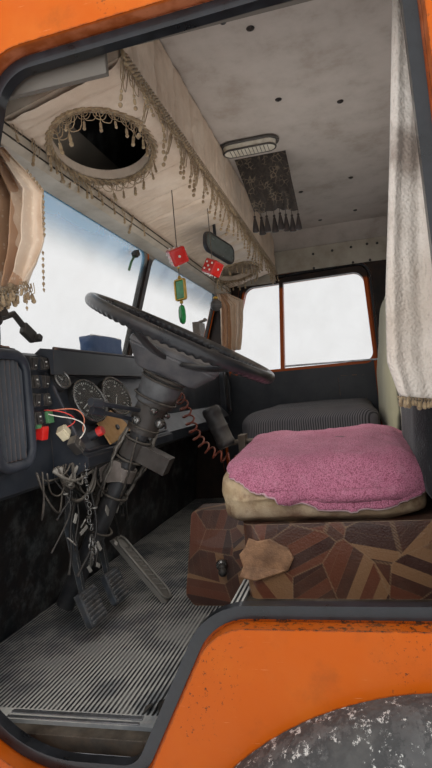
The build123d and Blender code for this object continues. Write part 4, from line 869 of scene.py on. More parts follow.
def block(bm, centre, size, turn=None, soft=0.002, steps=2):
    """A box with softened edges."""
    matrix = Matrix.Translation(centre) @ (turn or Matrix.Identity(3)).to_4x4() @ Matrix.Diagonal((*size, 1))
    made = bmesh.ops.create_cube(bm, size=1, matrix=matrix)
    rims = {edge for vert in made["verts"] for edge in vert.link_edges}
    if soft:
        bmesh.ops.bevel(bm, geom=list(rims), offset=soft, segments=steps, affect="EDGES", profile=0.6)


def piece(name, bm, material, body="cab", smooth=True):
    """Turns a bmesh into an object that rides on a body."""
    bmesh.ops.recalc_face_normals(bm, faces=bm.faces)
    mesh = bpy.data.meshes.new(name)
    bm.to_mesh(mesh)
    bm.free()
    return adopt(name, mesh, material, body, smooth)


def adopt(name, mesh, material, body="cab", smooth=True):
    """Names a mesh, finishes it and lets it ride on a body."""
    mesh.name = name
    mesh.polygons.foreach_set("use_smooth", [smooth] * len(mesh.polygons))
    made = bpy.data.objects.new(name, mesh)
    bpy.context.scene.collection.objects.link(made)
    if material:
        mesh.materials.clear()
        mesh.materials.append(material)
    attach(made, body)
    print(name, len(mesh.polygons), "faces")
    return made


def tilted(x=0.0, y=0.0, z=0.0):
    """A turn by degrees about X, then Y, then Z."""
    turn = Matrix.Rotation(math.radians(y), 3, "Y") @ Matrix.Rotation(math.radians(x), 3, "X")
    return Matrix.Rotation(math.radians(z), 3, "Z") @ turn


def settle(made, kind, name, **settings):
    """Adds a modifier and applies it."""
    modifier = made.modifiers.new(name, kind)
    for key, value in settings.items():
        setattr(modifier, key, value)
    depsgraph = bpy.context.evaluated_depsgraph_get()
    finished = bpy.data.meshes.new_from_object(made.evaluated_get(depsgraph))
    made.modifiers.remove(modifier)
    made.data = finished
    return made


print("corners of a rounded outline:", len(rounded(1, 1, 0.1)))

# %% [markdown]
# Fringe, beads, tassels, stitches and screws all repeat along a path, so one Geometry Nodes tree makes
# them: it resamples the path, puts the unit on each point, turns it along the path and varies it a
# little by a seed. Realize Instances makes real faces of them, and the result is kept as a plain mesh.

# %% Repeat along a path
def repeat_tree():
    """The tree and the identifiers of its inputs."""
    tree = bpy.data.node_groups.new("repeat along a path", "GeometryNodeTree")
    sockets = {}
    for label, kind in (
        ("Path", "Geometry"), ("Spacing", "Float"), ("Unit", "Object"), ("Finish", "Material"),
        ("Uneven", "Float"), ("Turn", "Float"), ("Seed", "Int"),
    ):
        made = tree.interface.new_socket(label, in_out="INPUT", socket_type="NodeSocket" + kind)
        sockets[label] = made.identifier
    tree.interface.new_socket("Result", in_out="OUTPUT", socket_type="NodeSocketGeometry")
    into = tree.nodes.new("NodeGroupInput").outputs
    curve = tree.nodes.new("GeometryNodeMeshToCurve")
    points = tree.nodes.new("GeometryNodeResampleCurve")
    points.mode = "LENGTH"
    unit = tree.nodes.new("GeometryNodeObjectInfo")
    tangent = tree.nodes.new("GeometryNodeInputTangent")
    align = tree.nodes.new("FunctionNodeAlignRotationToVector")
    align.axis = "X"
    align.pivot_axis = "Z"
    size = tree.nodes.new("FunctionNodeRandomValue")
    size.data_type = "FLOAT"
    smallest = tree.nodes.new("ShaderNodeMath")
    smallest.operation = "SUBTRACT"
    smallest.inputs[0].default_value = 1.0
    swing = tree.nodes.new("FunctionNodeRandomValue")
    swing.data_type = "FLOAT"
    back = tree.nodes.new("ShaderNodeMath")
    back.operation = "MULTIPLY"
    back.inputs[1].default_value = -1.0
    euler = tree.nodes.new("ShaderNodeCombineXYZ")
    tilt = tree.nodes.new("FunctionNodeEulerToRotation")
    rotate = tree.nodes.new("FunctionNodeRotateRotation")
    rotate.rotation_space = "LOCAL"
    place = tree.nodes.new("GeometryNodeInstanceOnPoints")
    real = tree.nodes.new("GeometryNodeRealizeInstances")
    finish = tree.nodes.new("GeometryNodeSetMaterial")
    link = tree.links.new
    link(into["Path"], curve.inputs["Mesh"])
    link(curve.outputs[0], points.inputs["Curve"])
    link(into["Spacing"], points.inputs["Length"])
    link(into["Unit"], unit.inputs["Object"])
    link(tangent.outputs[0], align.inputs["Vector"])
    link(into["Uneven"], smallest.inputs[1])
    low, high = [s for s in size.inputs if s.enabled][:2]
    link(smallest.outputs[0], low)
    high.default_value = 1.0
    link(into["Seed"], size.inputs["Seed"])
    low, high = [s for s in swing.inputs if s.enabled][:2]
    link(into["Turn"], back.inputs[0])
    link(back.outputs[0], low)
    link(into["Turn"], high)
    link(into["Seed"], swing.inputs["Seed"])
    turn_value = [s for s in swing.outputs if s.enabled][0]
    link(turn_value, euler.inputs[0])
    link(turn_value, euler.inputs[2])
    link(euler.outputs[0], tilt.inputs[0])
    link(align.outputs[0], rotate.inputs["Rotation"])
    link(tilt.outputs[0], rotate.inputs["Rotate By"])
    link(points.outputs[0], place.inputs["Points"])
    link(unit.outputs["Geometry"], place.inputs["Instance"])
    link(rotate.outputs[0], place.inputs["Rotation"])
    link([s for s in size.outputs if s.enabled][0], place.inputs["Scale"])
    link(place.outputs[0], real.inputs[0])
    link(real.outputs[0], finish.inputs["Geometry"])
    link(into["Finish"], finish.inputs["Material"])
    link(finish.outputs[0], tree.nodes.new("NodeGroupOutput").inputs[0])
    return tree, sockets


along_path, along_inputs = repeat_tree()
print("repeat tree:", len(along_path.nodes), "nodes")


def repeat(name, paths, unit_mesh, spacing, material, uneven=0.1, turn=0.1, seed=1, body="cab"):
    """Repeats a bmesh unit along open paths and keeps the result as one plain piece."""
    unit_data = bpy.data.meshes.new(name + "_unit")
    bmesh.ops.recalc_face_normals(unit_mesh, faces=unit_mesh.faces)
    unit_mesh.to_mesh(unit_data)
    unit_mesh.free()
    unit = bpy.data.objects.new(name + "_unit", unit_data)
    host_data = bpy.data.meshes.new(name)
    verts, links = [], []
    for path in paths:
        start = len(verts)
        verts += [tuple(p) for p in path]
        links += [(n, n + 1) for n in range(start, len(verts) - 1)]
    host_data.from_pydata(verts, links, [])
    host = bpy.data.objects.new(name + "_path", host_data)
    for made in (unit, host):
        bpy.context.scene.collection.objects.link(made)
    modifier = host.modifiers.new("repeat", "NODES")
    modifier.node_group = along_path
    values = {
        "Spacing": spacing, "Unit": unit, "Finish": material, "Uneven": uneven, "Turn": turn, "Seed": seed,
    }
    for label, value in values.items():
        modifier[along_inputs[label]] = value
    depsgraph = bpy.context.evaluated_depsgraph_get()
    mesh = bpy.data.meshes.new_from_object(host.evaluated_get(depsgraph))
    for made in (host, unit):
        bpy.data.objects.remove(made)
    return adopt(name, mesh, material, body)


# %% [markdown]
# Gold fringe edges the shelf: a braid, swags of thread that overlap, and drops of wooden beads. The
# finish is one for thread and beads, because both are the same aged gold.

# %% Gold thread
gold_thread = worn(
    "gold_thread", hue(176, 152, 116), hue(132, 108, 78), scale=60.0, grain_scale=1800.0, depth=0.5,
    dusty=0.15, dust_colour=hue(120, 100, 76), sheen=0.3,
)


def swag(bm, width, drop, shift, radius, lean=0.0):
    """A thread that hangs between two points of the braid."""
    steps = 8
    points = []
    for n in range(steps + 1):
        across = n / steps * 2 - 1
        points.append((shift + across * width / 2, lean * (1 - across ** 2), -drop * (1 - across ** 4)))
    tube(bm, points, radius, sides=5)


def fringe_unit(width, drop, thread=0.0013):
    """Overlapping swags and one bead drop."""
    bm = bmesh.new()
    swag(bm, width * 1.25, drop * 0.42, 0, thread, 0.002)
    swag(bm, width * 1.25, drop * 0.55, width / 2, thread, -0.002)
    swag(bm, width * 0.8, drop * 0.25, 0, thread, 0.004)
    tube(bm, [(0, 0, 0), (0.001, 0, -drop * 0.3), (0, 0.001, -drop * 0.62)], thread, sides=5)
    for share, wide, high in ((0.64, 0.0042, 0.0042), (0.77, 0.0046, 0.0088), (0.93, 0.0055, 0.006)):
        bead(bm, (0, 0, -drop * share), (wide, wide, high))
    return bm


def braid(bm, points, radius=0.0035, lift=(0, 0, 0)):
    """Two cords twisted round each other along a path."""
    path = [Vector(p) + Vector(lift) for p in points]
    for phase in (0, math.pi):
        twisted = []
        for n, point in enumerate(path):
            angle = n * 0.9 + phase
            twisted.append(point + Vector((0, math.cos(angle), math.sin(angle))) * radius)
        tube(bm, twisted, radius * 1.05, sides=5)


def spaced(start, end, step):
    """Points on a straight line, a step apart."""
    start, end = Vector(start), Vector(end)
    count = max(2, round((end - start).length / step))
    return [start.lerp(end, n / count) for n in range(count + 1)]


print("thread finish:", gold_thread.name)

# %% [markdown]
# The shelf itself is boards under foam and leatherette. Its underside and rear are padded: the cloth is
# pulled down along lines of stitches and round the oval holes, and wrinkles between them. The pad is a
# grid of points on the shelf's own section, pushed out by a height that falls to nothing at each seam.

# %% Padded shelf
shelf_low, shelf_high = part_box("overhead_shelf")
SHELF_FRONT_Y = 0.132
SHELF_BACK_Y = 0.402
SHELF_FRONT_Z = 1.545
SHELF_BACK_Z = 1.610
SHELF_TOP_Z = 1.7995
HOLE_X = 0.810
HOLE_Y = SHELF_FRONT_Y + 0.110
HOLE_HALF = (0.185, 0.106)
QUILT = 0.145
under = Vector((0, SHELF_BACK_Y - SHELF_FRONT_Y, SHELF_BACK_Z - SHELF_FRONT_Z))
under_down = Vector((0, under.z, -under.y)).normalized()


def hole_distance(x, y):
    """How far a point of the shelf is from an oval's rim, outside positive."""
    best = 9.0
    for side in (-1, 1):
        across = (x - side * HOLE_X) / HOLE_HALF[0]
        along = (y - HOLE_Y) / HOLE_HALF[1]
        reach = math.hypot(across, along)
        best = min(best, (reach - 1) * HOLE_HALF[1])
    return best


def puff(x, along, depth):
    """Height of the padding: full between seams, nothing at them."""
    seam = abs(((x / QUILT) % 1) - 0.5) * 2
    full = (1 - seam ** 6) ** 0.5
    ends = min(1.0, along * depth / 0.02, (1 - along) * depth / 0.02)
    wrinkle = noise.noise(Vector((x * 26, along * 5, 3))) * 0.5
    wrinkle += noise.noise(Vector((x * 70, along * 14, 8))) * 0.22
    gather = 0.004 * math.sin(x * 210 + 5 * noise.noise(Vector((x * 6, along * 3, 1))))
    gather *= 1 - min(1.0, along * 2.5)
    return max(0.0, (0.012 * full + 0.006 * wrinkle + gather)) * max(0.0, ends) ** 0.5


def shelf_pad(name, place, deep, columns, rows, holes):
    """A padded skin over one face of the shelf; place(x, along) gives a point and its outward normal."""
    bm = bmesh.new()
    low, high = shelf_low.x + 0.002, shelf_high.x - 0.002
    grid = []
    for row in range(rows + 1):
        line = []
        for column in range(columns + 1):
            x = low + (high - low) * column / columns
            point, normal = place(x, row / rows)
            rise = puff(x, row / rows, deep)
            if holes:
                clear = hole_distance(x, point.y)
                rise *= max(0.0, min(1.0, clear / 0.018)) ** 0.5
            line.append(bm.verts.new(point + normal * (0.0006 + rise)))
        grid.append(line)
    weave(bm, grid, lambda corners: holes and min(hole_distance(v.co.x, v.co.y) for v in corners) < 0.0)
    loose = [vert for vert in bm.verts if not vert.link_faces]
    bmesh.ops.delete(bm, geom=loose, context="VERTS")
    piece(name, bm, tan_leatherette)


def underside(x, along):
    """A point of the sloping underside and its normal."""
    return Vector((x, SHELF_FRONT_Y, SHELF_FRONT_Z)) + under * along, under_down


def rear_side(x, along):
    """A point of the upright face to the rear and its normal."""
    point = Vector((x, SHELF_BACK_Y + 0.0075 * along, SHELF_BACK_Z + (SHELF_TOP_Z - SHELF_BACK_Z) * along))
    return point, Vector((0, 1, -0.04)).normalized()


shelf_pad("shelf_under_pad", underside, under.length, 430, 54, True)
shelf_pad("shelf_rear_pad", rear_side, SHELF_TOP_Z - SHELF_BACK_Z, 430, 36, False)

# %% [markdown]
# The fringe runs the whole length of the shelf's lower edge, and shorter ones go round both oval holes.
# Two twisted cords cover the line where each is sewn on.

# %% Shelf fringe
EDGE_Y = SHELF_BACK_Y + 0.009
edge = spaced((shelf_high.x - 0.01, EDGE_Y, SHELF_BACK_Z), (shelf_low.x + 0.01, EDGE_Y, SHELF_BACK_Z), 0.004)
repeat(
    "shelf_fringe", [edge], fringe_unit(0.034, 0.105), 0.034, gold_thread,
    uneven=0.28, turn=0.35, seed=7,
)
bm = bmesh.new()
braid(bm, edge, 0.004)
braid(bm, [p + Vector((0, 0.001, 0.009)) for p in edge], 0.004)
end_x = shelf_high.x - 0.006
near_end = spaced((end_x, SHELF_BACK_Y + 0.01, SHELF_TOP_Z - 0.004), (end_x, EDGE_Y, SHELF_BACK_Z), 0.004)
tube(bm, near_end, 0.005, sides=6)
piece("shelf_braid", bm, gold_thread)


def oval(side, grow, down, start=0.0, end=2 * math.pi, steps=150):
    """Points round an oval hole, on the shelf's sloping underside."""
    points = []
    for n in range(steps + 1):
        angle = start + (end - start) * n / steps
        x = side * HOLE_X + (HOLE_HALF[0] + grow) * math.cos(angle)
        along = HOLE_Y - SHELF_FRONT_Y + (HOLE_HALF[1] + grow) * math.sin(angle)
        along /= SHELF_BACK_Y - SHELF_FRONT_Y
        points.append(Vector((x, SHELF_FRONT_Y, SHELF_FRONT_Z)) + under * along + under_down * down)
    return points


repeat(
    "oval_fringe", [oval(side, 0.004, 0.008)[:-1] for side in (-1, 1)], fringe_unit(0.036, 0.062),
    0.036, gold_thread, uneven=0.35, turn=0.3, seed=11,
)
bm = bmesh.new()
for side in (-1, 1):
    braid(bm, oval(side, 0.004, 0.007), 0.004)
    braid(bm, oval(side, 0.012, 0.008), 0.0035)
piece("oval_braid", bm, gold_thread)

# %% [markdown]
# Curtains are hung cloth: a grid of points between two side lines, thrown into folds that open towards
# the hem. The folds are a sum of waves whose phase drifts with the drop, so that no two are alike.

# %% Curtains
def along_line(line, share):
    """A point at a share of a polyline's length."""
    line = [Vector(p) for p in line]
    lengths = [(b - a).length for a, b in zip(line, line[1:])]
    left = share * sum(lengths)
    for a, b, length in zip(line, line[1:], lengths):
        if left <= length:
            return a.lerp(b, left / length)
        left -= length
    return line[-1]


def hanging(name, middle, left, right, folds, depth, material, columns, rows, seed, thick=0.0014):
    """A curtain whose width runs along Y; left and right are side lines of (Y, Z) in millimetres."""
    bm = bmesh.new()
    grid = []
    for row in range(rows + 1):
        down = row / rows
        one = along_line([(y * MM, z * MM, 0) for y, z in left], down)
        two = along_line([(y * MM, z * MM, 0) for y, z in right], down)
        line = []
        for column in range(columns + 1):
            across = column / columns
            drift = noise.noise(Vector((across * 3, down * 2.2, seed))) * 1.6
            wave = math.sin(2 * math.pi * folds * across + drift)
            wave += 0.35 * math.sin(2 * math.pi * folds * 2.3 * across + 1.7 * drift + seed)
            wave += 0.25 * noise.noise(Vector((across * 9, down * 12, seed + 5)))
            open_out = depth * (0.45 + 0.55 * min(1.0, down * 1.6))
            flat = one.lerp(two, across)
            sway = 0.3 * open_out * math.cos(2 * math.pi * folds * across + drift)
            line.append(bm.verts.new((middle + wave * open_out * 0.6, flat.x + sway * 0.5, flat.y)))
        grid.append(line)
    weave(bm, grid)
    wide = sum((grid[rows // 2][n + 1].co - grid[rows // 2][n].co).length for n in range(columns))
    area = sum(face.calc_area() for face in bm.faces)
    hem = [vert.co.copy() for vert in grid[rows]]
    made = piece(name, bm, material)
    settle(made, "SOLIDIFY", "cloth", thickness=thick, offset=0)
    return made, (wide, area / wide), hem


near_curtain, near_flat, near_hem = hanging(
    "near_curtain", 1.056, [(56, 1499), (40, 1450), (12, 1300), (20, 1182)],
    [(112, 1499), (196, 1392), (184, 1286), (140, 1200)], 5, 0.030, curtain_gold, 110, 60, 3,
)
far_curtain, far_flat, _ = hanging(
    "far_curtain", -1.006, [(74, 1499), (84, 1400), (72, 1166)],
    [(130, 1499), (222, 1445), (205, 1300), (182, 1166)], 4, 0.030, curtain_gold, 70, 40, 9,
)
STAIN_AT = (1.032, 0.936, 1.340)


def soiled(tree, colour):
    """A brown stain near the top, and the nap rubbed in short strokes."""
    place = object_place(tree)
    cloud = clouds(tree, place, 14.0, 8.0, 0.7)
    spot = near(tree, place, STAIN_AT)
    spread = plus(tree, spot, times(tree, cloud, 0.12))
    stained = ramp(tree, spread, 0.13, 0.08, 0.0, 0.7)
    colour = blend_colour(tree, stained, stains(tree, colour), hue(92, 66, 46))
    strokes = put(tree, "Mapping", {"Vector": place, "Scale": (60.0, 60.0, 14.0)})
    nap = clouds(tree, strokes.outputs[0], 3.0, 6.0, 0.7)
    return blend_colour(tree, ramp(tree, nap, 0.5, 0.7, 0.0, 0.45), colour, hue(150, 134, 118))


plush = worn(
    "berth_plush", hue(226, 215, 203), hue(204, 189, 174), rough=0.9, scale=5.0, grain_scale=200.0, depth=0.7,
    relief=0.0028, dusty=0.12, sheen=0.3, extra=soiled,
)
berth_curtain, berth_flat, berth_hem = hanging(
    "berth_curtain", 1.032, [(946, 1778), (930, 1641), (896, 1330), (866, 1078), (858, 960), (874, 896)],
    [(1050, 1778), (1044, 1500), (1040, 1200), (1036, 1000), (1034, 868)], 2.3, 0.013, plush, 60, 110, 5,
)
for curtain, flat in ((near_curtain, near_flat), (far_curtain, far_flat), (berth_curtain, berth_flat)):
    print(curtain.name, "cut from", [round(side, 3) for side in flat])
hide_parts("curtains")
repeat(
    "near_curtain_fringe", [near_hem], fringe_unit(0.014, 0.042, 0.001), 0.012, gold_thread,
    uneven=0.4, turn=0.4, seed=3,
)
repeat(
    "berth_curtain_fringe", [berth_hem], fringe_unit(0.009, 0.020, 0.0006), 0.006, gold_thread,
    uneven=0.4, turn=0.4, seed=4,
)

# %% [markdown]
# A dark velvet valance hangs across the ceiling, with pointed tassels sewn along its foot.

# %% Valance and tassels
VALANCE_X = 0.049
top_line = [Vector((VALANCE_X, 0.436, 1.7985)), Vector((VALANCE_X, 0.628, 1.7985))]
foot_line = [
    Vector((VALANCE_X, 0.492, 1.592)), Vector((VALANCE_X, 0.535, 1.584)), Vector((VALANCE_X, 0.58, 1.590)),
    Vector((VALANCE_X, 0.62, 1.578)), Vector((VALANCE_X, 0.654, 1.572)),
]
bm = bmesh.new()
COLUMNS, ROWS = 60, 40
grid = []
for row in range(ROWS + 1):
    line = []
    for column in range(COLUMNS + 1):
        across, down = column / COLUMNS, row / ROWS
        high = top_line[0].lerp(top_line[1], across)
        low = along_line(foot_line, across)
        point = high.lerp(low, down)
        point.x += 0.009 * down * math.sin(across * 26 + 2 * noise.noise(Vector((across * 3, down * 3, 1))))
        line.append(bm.verts.new(point))
    grid.append(line)
weave(bm, grid)
valance_foot = [vert.co.copy() for vert in grid[ROWS]]
valance_area = sum(face.calc_area() for face in bm.faces)
valance_cloth = piece("valance_cloth", bm, velvet)
settle(valance_cloth, "SOLIDIFY", "cloth", thickness=0.003, offset=0)
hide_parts("valance")


def tassel_unit(drop):
    """A knot, a bead and a skirt of threads that narrows to a point."""
    bm = bmesh.new()
    tube(bm, [(0, 0, 0.002), (0, 0, -drop * 0.2)], 0.0012, sides=5)
    bead(bm, (0, 0, -drop * 0.24), 0.0055)
    points = [(0, 0, -drop * share) for share in (0.28, 0.34, 0.5, 0.75, 0.97, 1.0)]
    tube(bm, points, [0.003, 0.005, 0.0075, 0.0115, 0.0135, 0.009], sides=11)
    return bm


tassel_thread = worn(
    "tassel_thread", hue(26, 22, 22), hue(48, 38, 34), rough=0.6, scale=80.0, grain_scale=1500.0, depth=0.5,
    dusty=0.1, sheen=0.1,
)
repeat(
    "valance_tassels", [valance_foot], tassel_unit(0.082), 0.030, tassel_thread,
    uneven=0.15, turn=0.2, seed=5,
)

# %% [markdown]
# The driver's seat cushion is foam in dirty cream leatherette, with a towelling cover thrown over it. The
# foam shape comes from the solid: it is remeshed evenly, blown up a little by the Cloth modifier's
# pressure, and held near its start, so that it swells between its edges as a real cushion does.

# %% Cushions
ALL_WAYS = {"use_axis_x": True, "use_axis_y": True, "use_axis_z": True}


def inflated(node_name, shrink, cap, voxel=0.011, pressure=4.0):
    """A swollen copy of a soft solid."""
    source = nodes[node_name]
    bm = bmesh.new()
    bm.from_mesh(source.data)
    bmesh.ops.remove_doubles(bm, verts=bm.verts, dist=0.0001)
    low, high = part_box(node_name)
    middle = (Vector(low) + Vector(high)) / 2
    half = (Vector(high) - Vector(low)) / 2
    for vert in bm.verts:
        for axis in range(3):
            vert.co[axis] = middle[axis] + (vert.co[axis] - middle[axis]) * (1 - shrink / half[axis])
    mesh = bpy.data.meshes.new(node_name + "_foam")
    bm.to_mesh(mesh)
    bm.free()
    made = bpy.data.objects.new(node_name + "_foam", mesh)
    bpy.context.scene.collection.objects.link(made)
    settle(made, "REMESH", "even", mode="VOXEL", voxel_size=voxel)
    start = [vert.co.copy() for vert in made.data.vertices]
    cloth = made.modifiers.new("cloth", "CLOTH")
    cloth.settings.use_pressure = True
    cloth.settings.uniform_pressure_force = pressure
    cloth.settings.effector_weights.gravity = 0
    cloth.settings.quality = 4
    cloth.settings.tension_stiffness = 12
    cloth.settings.compression_stiffness = 12
    cloth.settings.bending_stiffness = 0.6
    for step in range(1, 16):
        bpy.context.scene.frame_set(step)
    depsgraph = bpy.context.evaluated_depsgraph_get()
    swollen = bpy.data.meshes.new_from_object(made.evaluated_get(depsgraph))
    made.modifiers.remove(cloth)
    for vert, first in zip(swollen.vertices, start):
        move = vert.co - first
        if move.length > cap:
            move = move.normalized() * cap
        vert.co = first + move
    made.data = swollen
    bpy.context.scene.frame_set(1)
    bm = bmesh.new()
    bm.from_mesh(made.data)
    bpy.data.objects.remove(made)
    for _ in range(2):
        bmesh.ops.smooth_vert(bm, verts=bm.verts, factor=0.5, **ALL_WAYS)
    print(node_name, "foam:", len(bm.verts), "points")
    return bm


def rumple(bm, depth, scale, seed):
    """Small lumps along the normals."""
    bm.normal_update()
    for vert in bm.verts:
        lump = noise.noise(vert.co * scale + Vector((seed, 0, 0))) + 0.5 * noise.noise(vert.co * scale * 2.6)
        vert.co += vert.normal * lump * depth


def cream_marks(tree, colour):
    """Brown dirt that is worst near the foot."""
    cloud = clouds(tree, object_place(tree), 18.0, 9.0, 0.7)
    colour = blend_colour(tree, ramp(tree, cloud, 0.42, 0.7), colour, hue(112, 82, 58))
    low = ramp(tree, coordinate(tree, "Z"), 0.70, 0.64)
    return blend_colour(tree, times(tree, low, 0.75), colour, hue(70, 48, 38))


cream_leatherette = worn(
    "cream_leatherette", hue(196, 176, 144), hue(166, 140, 106), rough=0.5, scale=20.0, grain_scale=380.0,
    depth=0.35, relief=0.0014, wear=hue(96, 70, 52), wear_amount=0.6, dusty=0.3, coat=0.1, extra=cream_marks,
)
TWILL_PITCH = 0.0095


def twill(tree, colour):
    """Diagonal ribs of the weave."""
    slanted = plus(tree, coordinate(tree, "X"), coordinate(tree, "Y"))
    wave = number(tree, "SINE", times(tree, slanted, 2 * math.pi / TWILL_PITCH))
    return blend_colour(tree, ramp(tree, wave, -0.2, 0.4), colour, hue(40, 39, 42))


dark_twill = worn(
    "dark_twill", hue(84, 82, 86), hue(96, 92, 94), rough=0.85, scale=14.0, grain_scale=1200.0, depth=0.5,
    relief=0.001, dusty=0.06, extra=twill,
)
foam = inflated("driver_cushion", 0.008, 0.013)
rumple(foam, 0.0035, 11.0, 4)
CUSHION_REAR = 0.80
CUSHION_STRETCH = 1.46
for vert in foam.verts:
    toward_door = max(0.0, min(1.0, (vert.co.x - 0.58) / 0.36))
    upper = max(0.0, min(1.0, (vert.co.z - 0.69) / 0.07))
    vert.co.z -= (0.030 * toward_door ** 1.6 + 0.024) * upper
    if vert.co.y > CUSHION_REAR:
        vert.co.y = CUSHION_REAR + (vert.co.y - CUSHION_REAR) * CUSHION_STRETCH
cover_source = foam.copy()
driver_cushion = piece("driver_cushion_pad", foam, cream_leatherette)
settle(driver_cushion, "SUBSURF", "smooth", levels=1, render_levels=1)
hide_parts("driver_cushion")

# %% [markdown]
# The towelling cover follows the foam a few millimetres out and ends in a wavy hem, lower at the middle
# of the door side, as in the photograph. Its pile is a strong fine bump with sheen over it, and its
# surface is lumpy where the loops bunch.

# %% Towelling cover
HEM_LINE = (
    (0.44, 0.785), (0.480, 0.768), (0.53, 0.735), (0.60, 0.700), (0.725, 0.668), (0.82, 0.662), (0.90, 0.690),
    (0.98, 0.70),
)
HEM_THICK = 0.0038
WORN_SPOT = (0.700, 0.752, 0.785)


def hem_height(x, y):
    """How low the cover reaches on each side of the cushion."""
    height = HEM_LINE[-1][1]
    for (y0, z0), (y1, z1) in zip(HEM_LINE, HEM_LINE[1:]):
        if y0 <= y <= y1:
            height = z0 + (z1 - z0) * (y - y0) / (y1 - y0)
            break
    inner = max(0.0, min(1.0, (0.90 - x) / 0.10))
    height = height * (1 - inner) + 0.745 * inner
    return height + 0.003 * math.sin(y * 41) + 0.002 * math.sin(y * 97 + x * 60)


bm = cover_source
bm.normal_update()
centres = [(face, face.calc_center_median()) for face in bm.faces]
cut = [face for face, at in centres if at.z < hem_height(at.x, at.y) + 0.001]
bmesh.ops.delete(bm, geom=cut, context="FACES")
for _ in range(3):
    for vert in [vert for vert in bm.verts if vert.is_boundary]:
        drop = hem_height(vert.co.x, vert.co.y) - vert.co.z
        vert.co.z += max(-0.011, min(0.011, drop))
    rim = [vert for vert in bm.verts if vert.is_boundary]
    bmesh.ops.smooth_vert(bm, verts=rim, factor=0.4, use_axis_x=True, use_axis_y=True, use_axis_z=False)
bmesh.ops.subdivide_edges(bm, edges=bm.edges, cuts=1, use_grid_fill=True, smooth=0.4)
rim = [vert for vert in bm.verts if vert.is_boundary]
for _ in range(4):
    bmesh.ops.smooth_vert(bm, verts=rim, factor=0.5, **ALL_WAYS)
bm.normal_update()
for vert in bm.verts:
    lumps = noise.noise(vert.co * 34) * 0.0016 + noise.noise(vert.co * 90) * 0.0012
    folds = max(0.0, noise.noise(Vector((vert.co.x * 7, vert.co.y * 13, 7)))) * 0.010
    vert.co += vert.normal * (0.0052 + lumps + folds)
hem_edges = [edge for edge in bm.edges if edge.is_boundary]
hem_loop = bmesh.new()
start = min((vert for edge in hem_edges for vert in edge.verts), key=lambda vert: vert.co.x)
chain, seen_edges, at = [start.co.copy()], set(), start
while True:
    step = next((edge for edge in at.link_edges if edge.is_boundary and edge not in seen_edges), None)
    if step is None:
        break
    seen_edges.add(step)
    at = step.other_vert(at)
    chain.append(at.co.copy())
print("hem:", len(chain), "points of", len(hem_edges))
hoop(hem_loop, chain[:-1], HEM_THICK, 6)
cover_area = sum(face.calc_area() for face in bm.faces)


def towel_marks(tree, colour):
    """Loops of the pile, in rows, with trodden darker places."""
    place = object_place(tree)
    loops = put(tree, "TexVoronoi", {"Vector": place, "Scale": 420.0})
    colour = blend_colour(tree, ramp(tree, loops.outputs["Distance"], 0.3, 0.8), colour, hue(138, 74, 92))
    cloud = clouds(tree, place, 30.0, 8.0, 0.7)
    colour = blend_colour(tree, times(tree, ramp(tree, cloud, 0.5, 0.75), 0.3), colour, hue(196, 146, 158))
    spot = near(tree, place, WORN_SPOT)
    rough_spot = plus(tree, spot, times(tree, cloud, 0.03))
    return blend_colour(tree, ramp(tree, rough_spot, 0.036, 0.028), colour, hue(58, 34, 38))


towelling = worn(
    "pink_towelling", hue(198, 124, 147), hue(174, 103, 126), rough=0.95, scale=9.0, grain_scale=420.0,
    depth=0.7, relief=0.003, dusty=0.06, dust_colour=hue(190, 160, 160), sheen=0.08, extra=towel_marks,
)
seat_cover = piece("seat_cover", bm, towelling)
settle(seat_cover, "SOLIDIFY", "cloth", thickness=0.004, offset=1)
hem_binding = worn(
    "hem_binding", hue(206, 170, 172), hue(184, 140, 146), rough=0.9, grain_scale=800.0, depth=0.6, dusty=0.2,
    sheen=0.4,
)
cover_hem = piece("seat_cover_hem", hem_loop, hem_binding)

# %% [markdown]
# The passenger's cushion has a dark ribbed twill, and both backrests wear fur covers. They are blown up in
# the same way. The fur's strands are a noise stretched along the height.

# %% Other cushions
def fur_marks(tree, colour):
    """Dark fur with grey tips, and a pale vinyl edge where the cover has slipped off the front."""
    place = object_place(tree)
    combed = put(tree, "Mapping", {"Vector": place, "Scale": (90.0, 90.0, 9.0)})
    strands = clouds(tree, combed.outputs[0], 3.0, 5.0, 0.7)
    colour = blend_colour(tree, ramp(tree, strands, 0.54, 0.72), colour, hue(66, 68, 72))
    forward_face = ramp(tree, leaning(tree, "Y", "Normal"), -0.05, -0.3)
    inner = times(tree, forward_face, ramp(tree, coordinate(tree, "X"), 0.56, 0.53))
    return blend_colour(tree, inner, colour, hue(176, 170, 142))


seat_fur = worn(
    "seat_fur", hue(20, 21, 24), hue(26, 27, 31), rough=0.85, scale=14.0, grain_scale=300.0, depth=0.6,
    relief=0.002, dusty=0.08, sheen=0.1, extra=fur_marks,
)
for name, material in (
    ("passenger_cushion", dark_twill), ("driver_backrest", seat_fur), ("passenger_backrest", seat_fur),
):
    foam = inflated(name, shrink=0.012, cap=0.016, voxel=0.014)
    rumple(foam, 0.003, 9.0, len(name))
    pad = piece(name + "_pad", foam, material)
    settle(pad, "SUBSURF", "smooth", levels=1, render_levels=1)
    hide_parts(name)

# %% [markdown]
# The steering wheel is the piece nearest to the eye, so it is made again over the CAD one: a rim of black
# hard rubber with finger grips moulded into its underside, four flat spokes and a faceted pad. A ring
# with grips follows a rule, so its section's radius is a function of two angles. The skin of rings then
# makes the spokes and the pad from rounded outlines too.

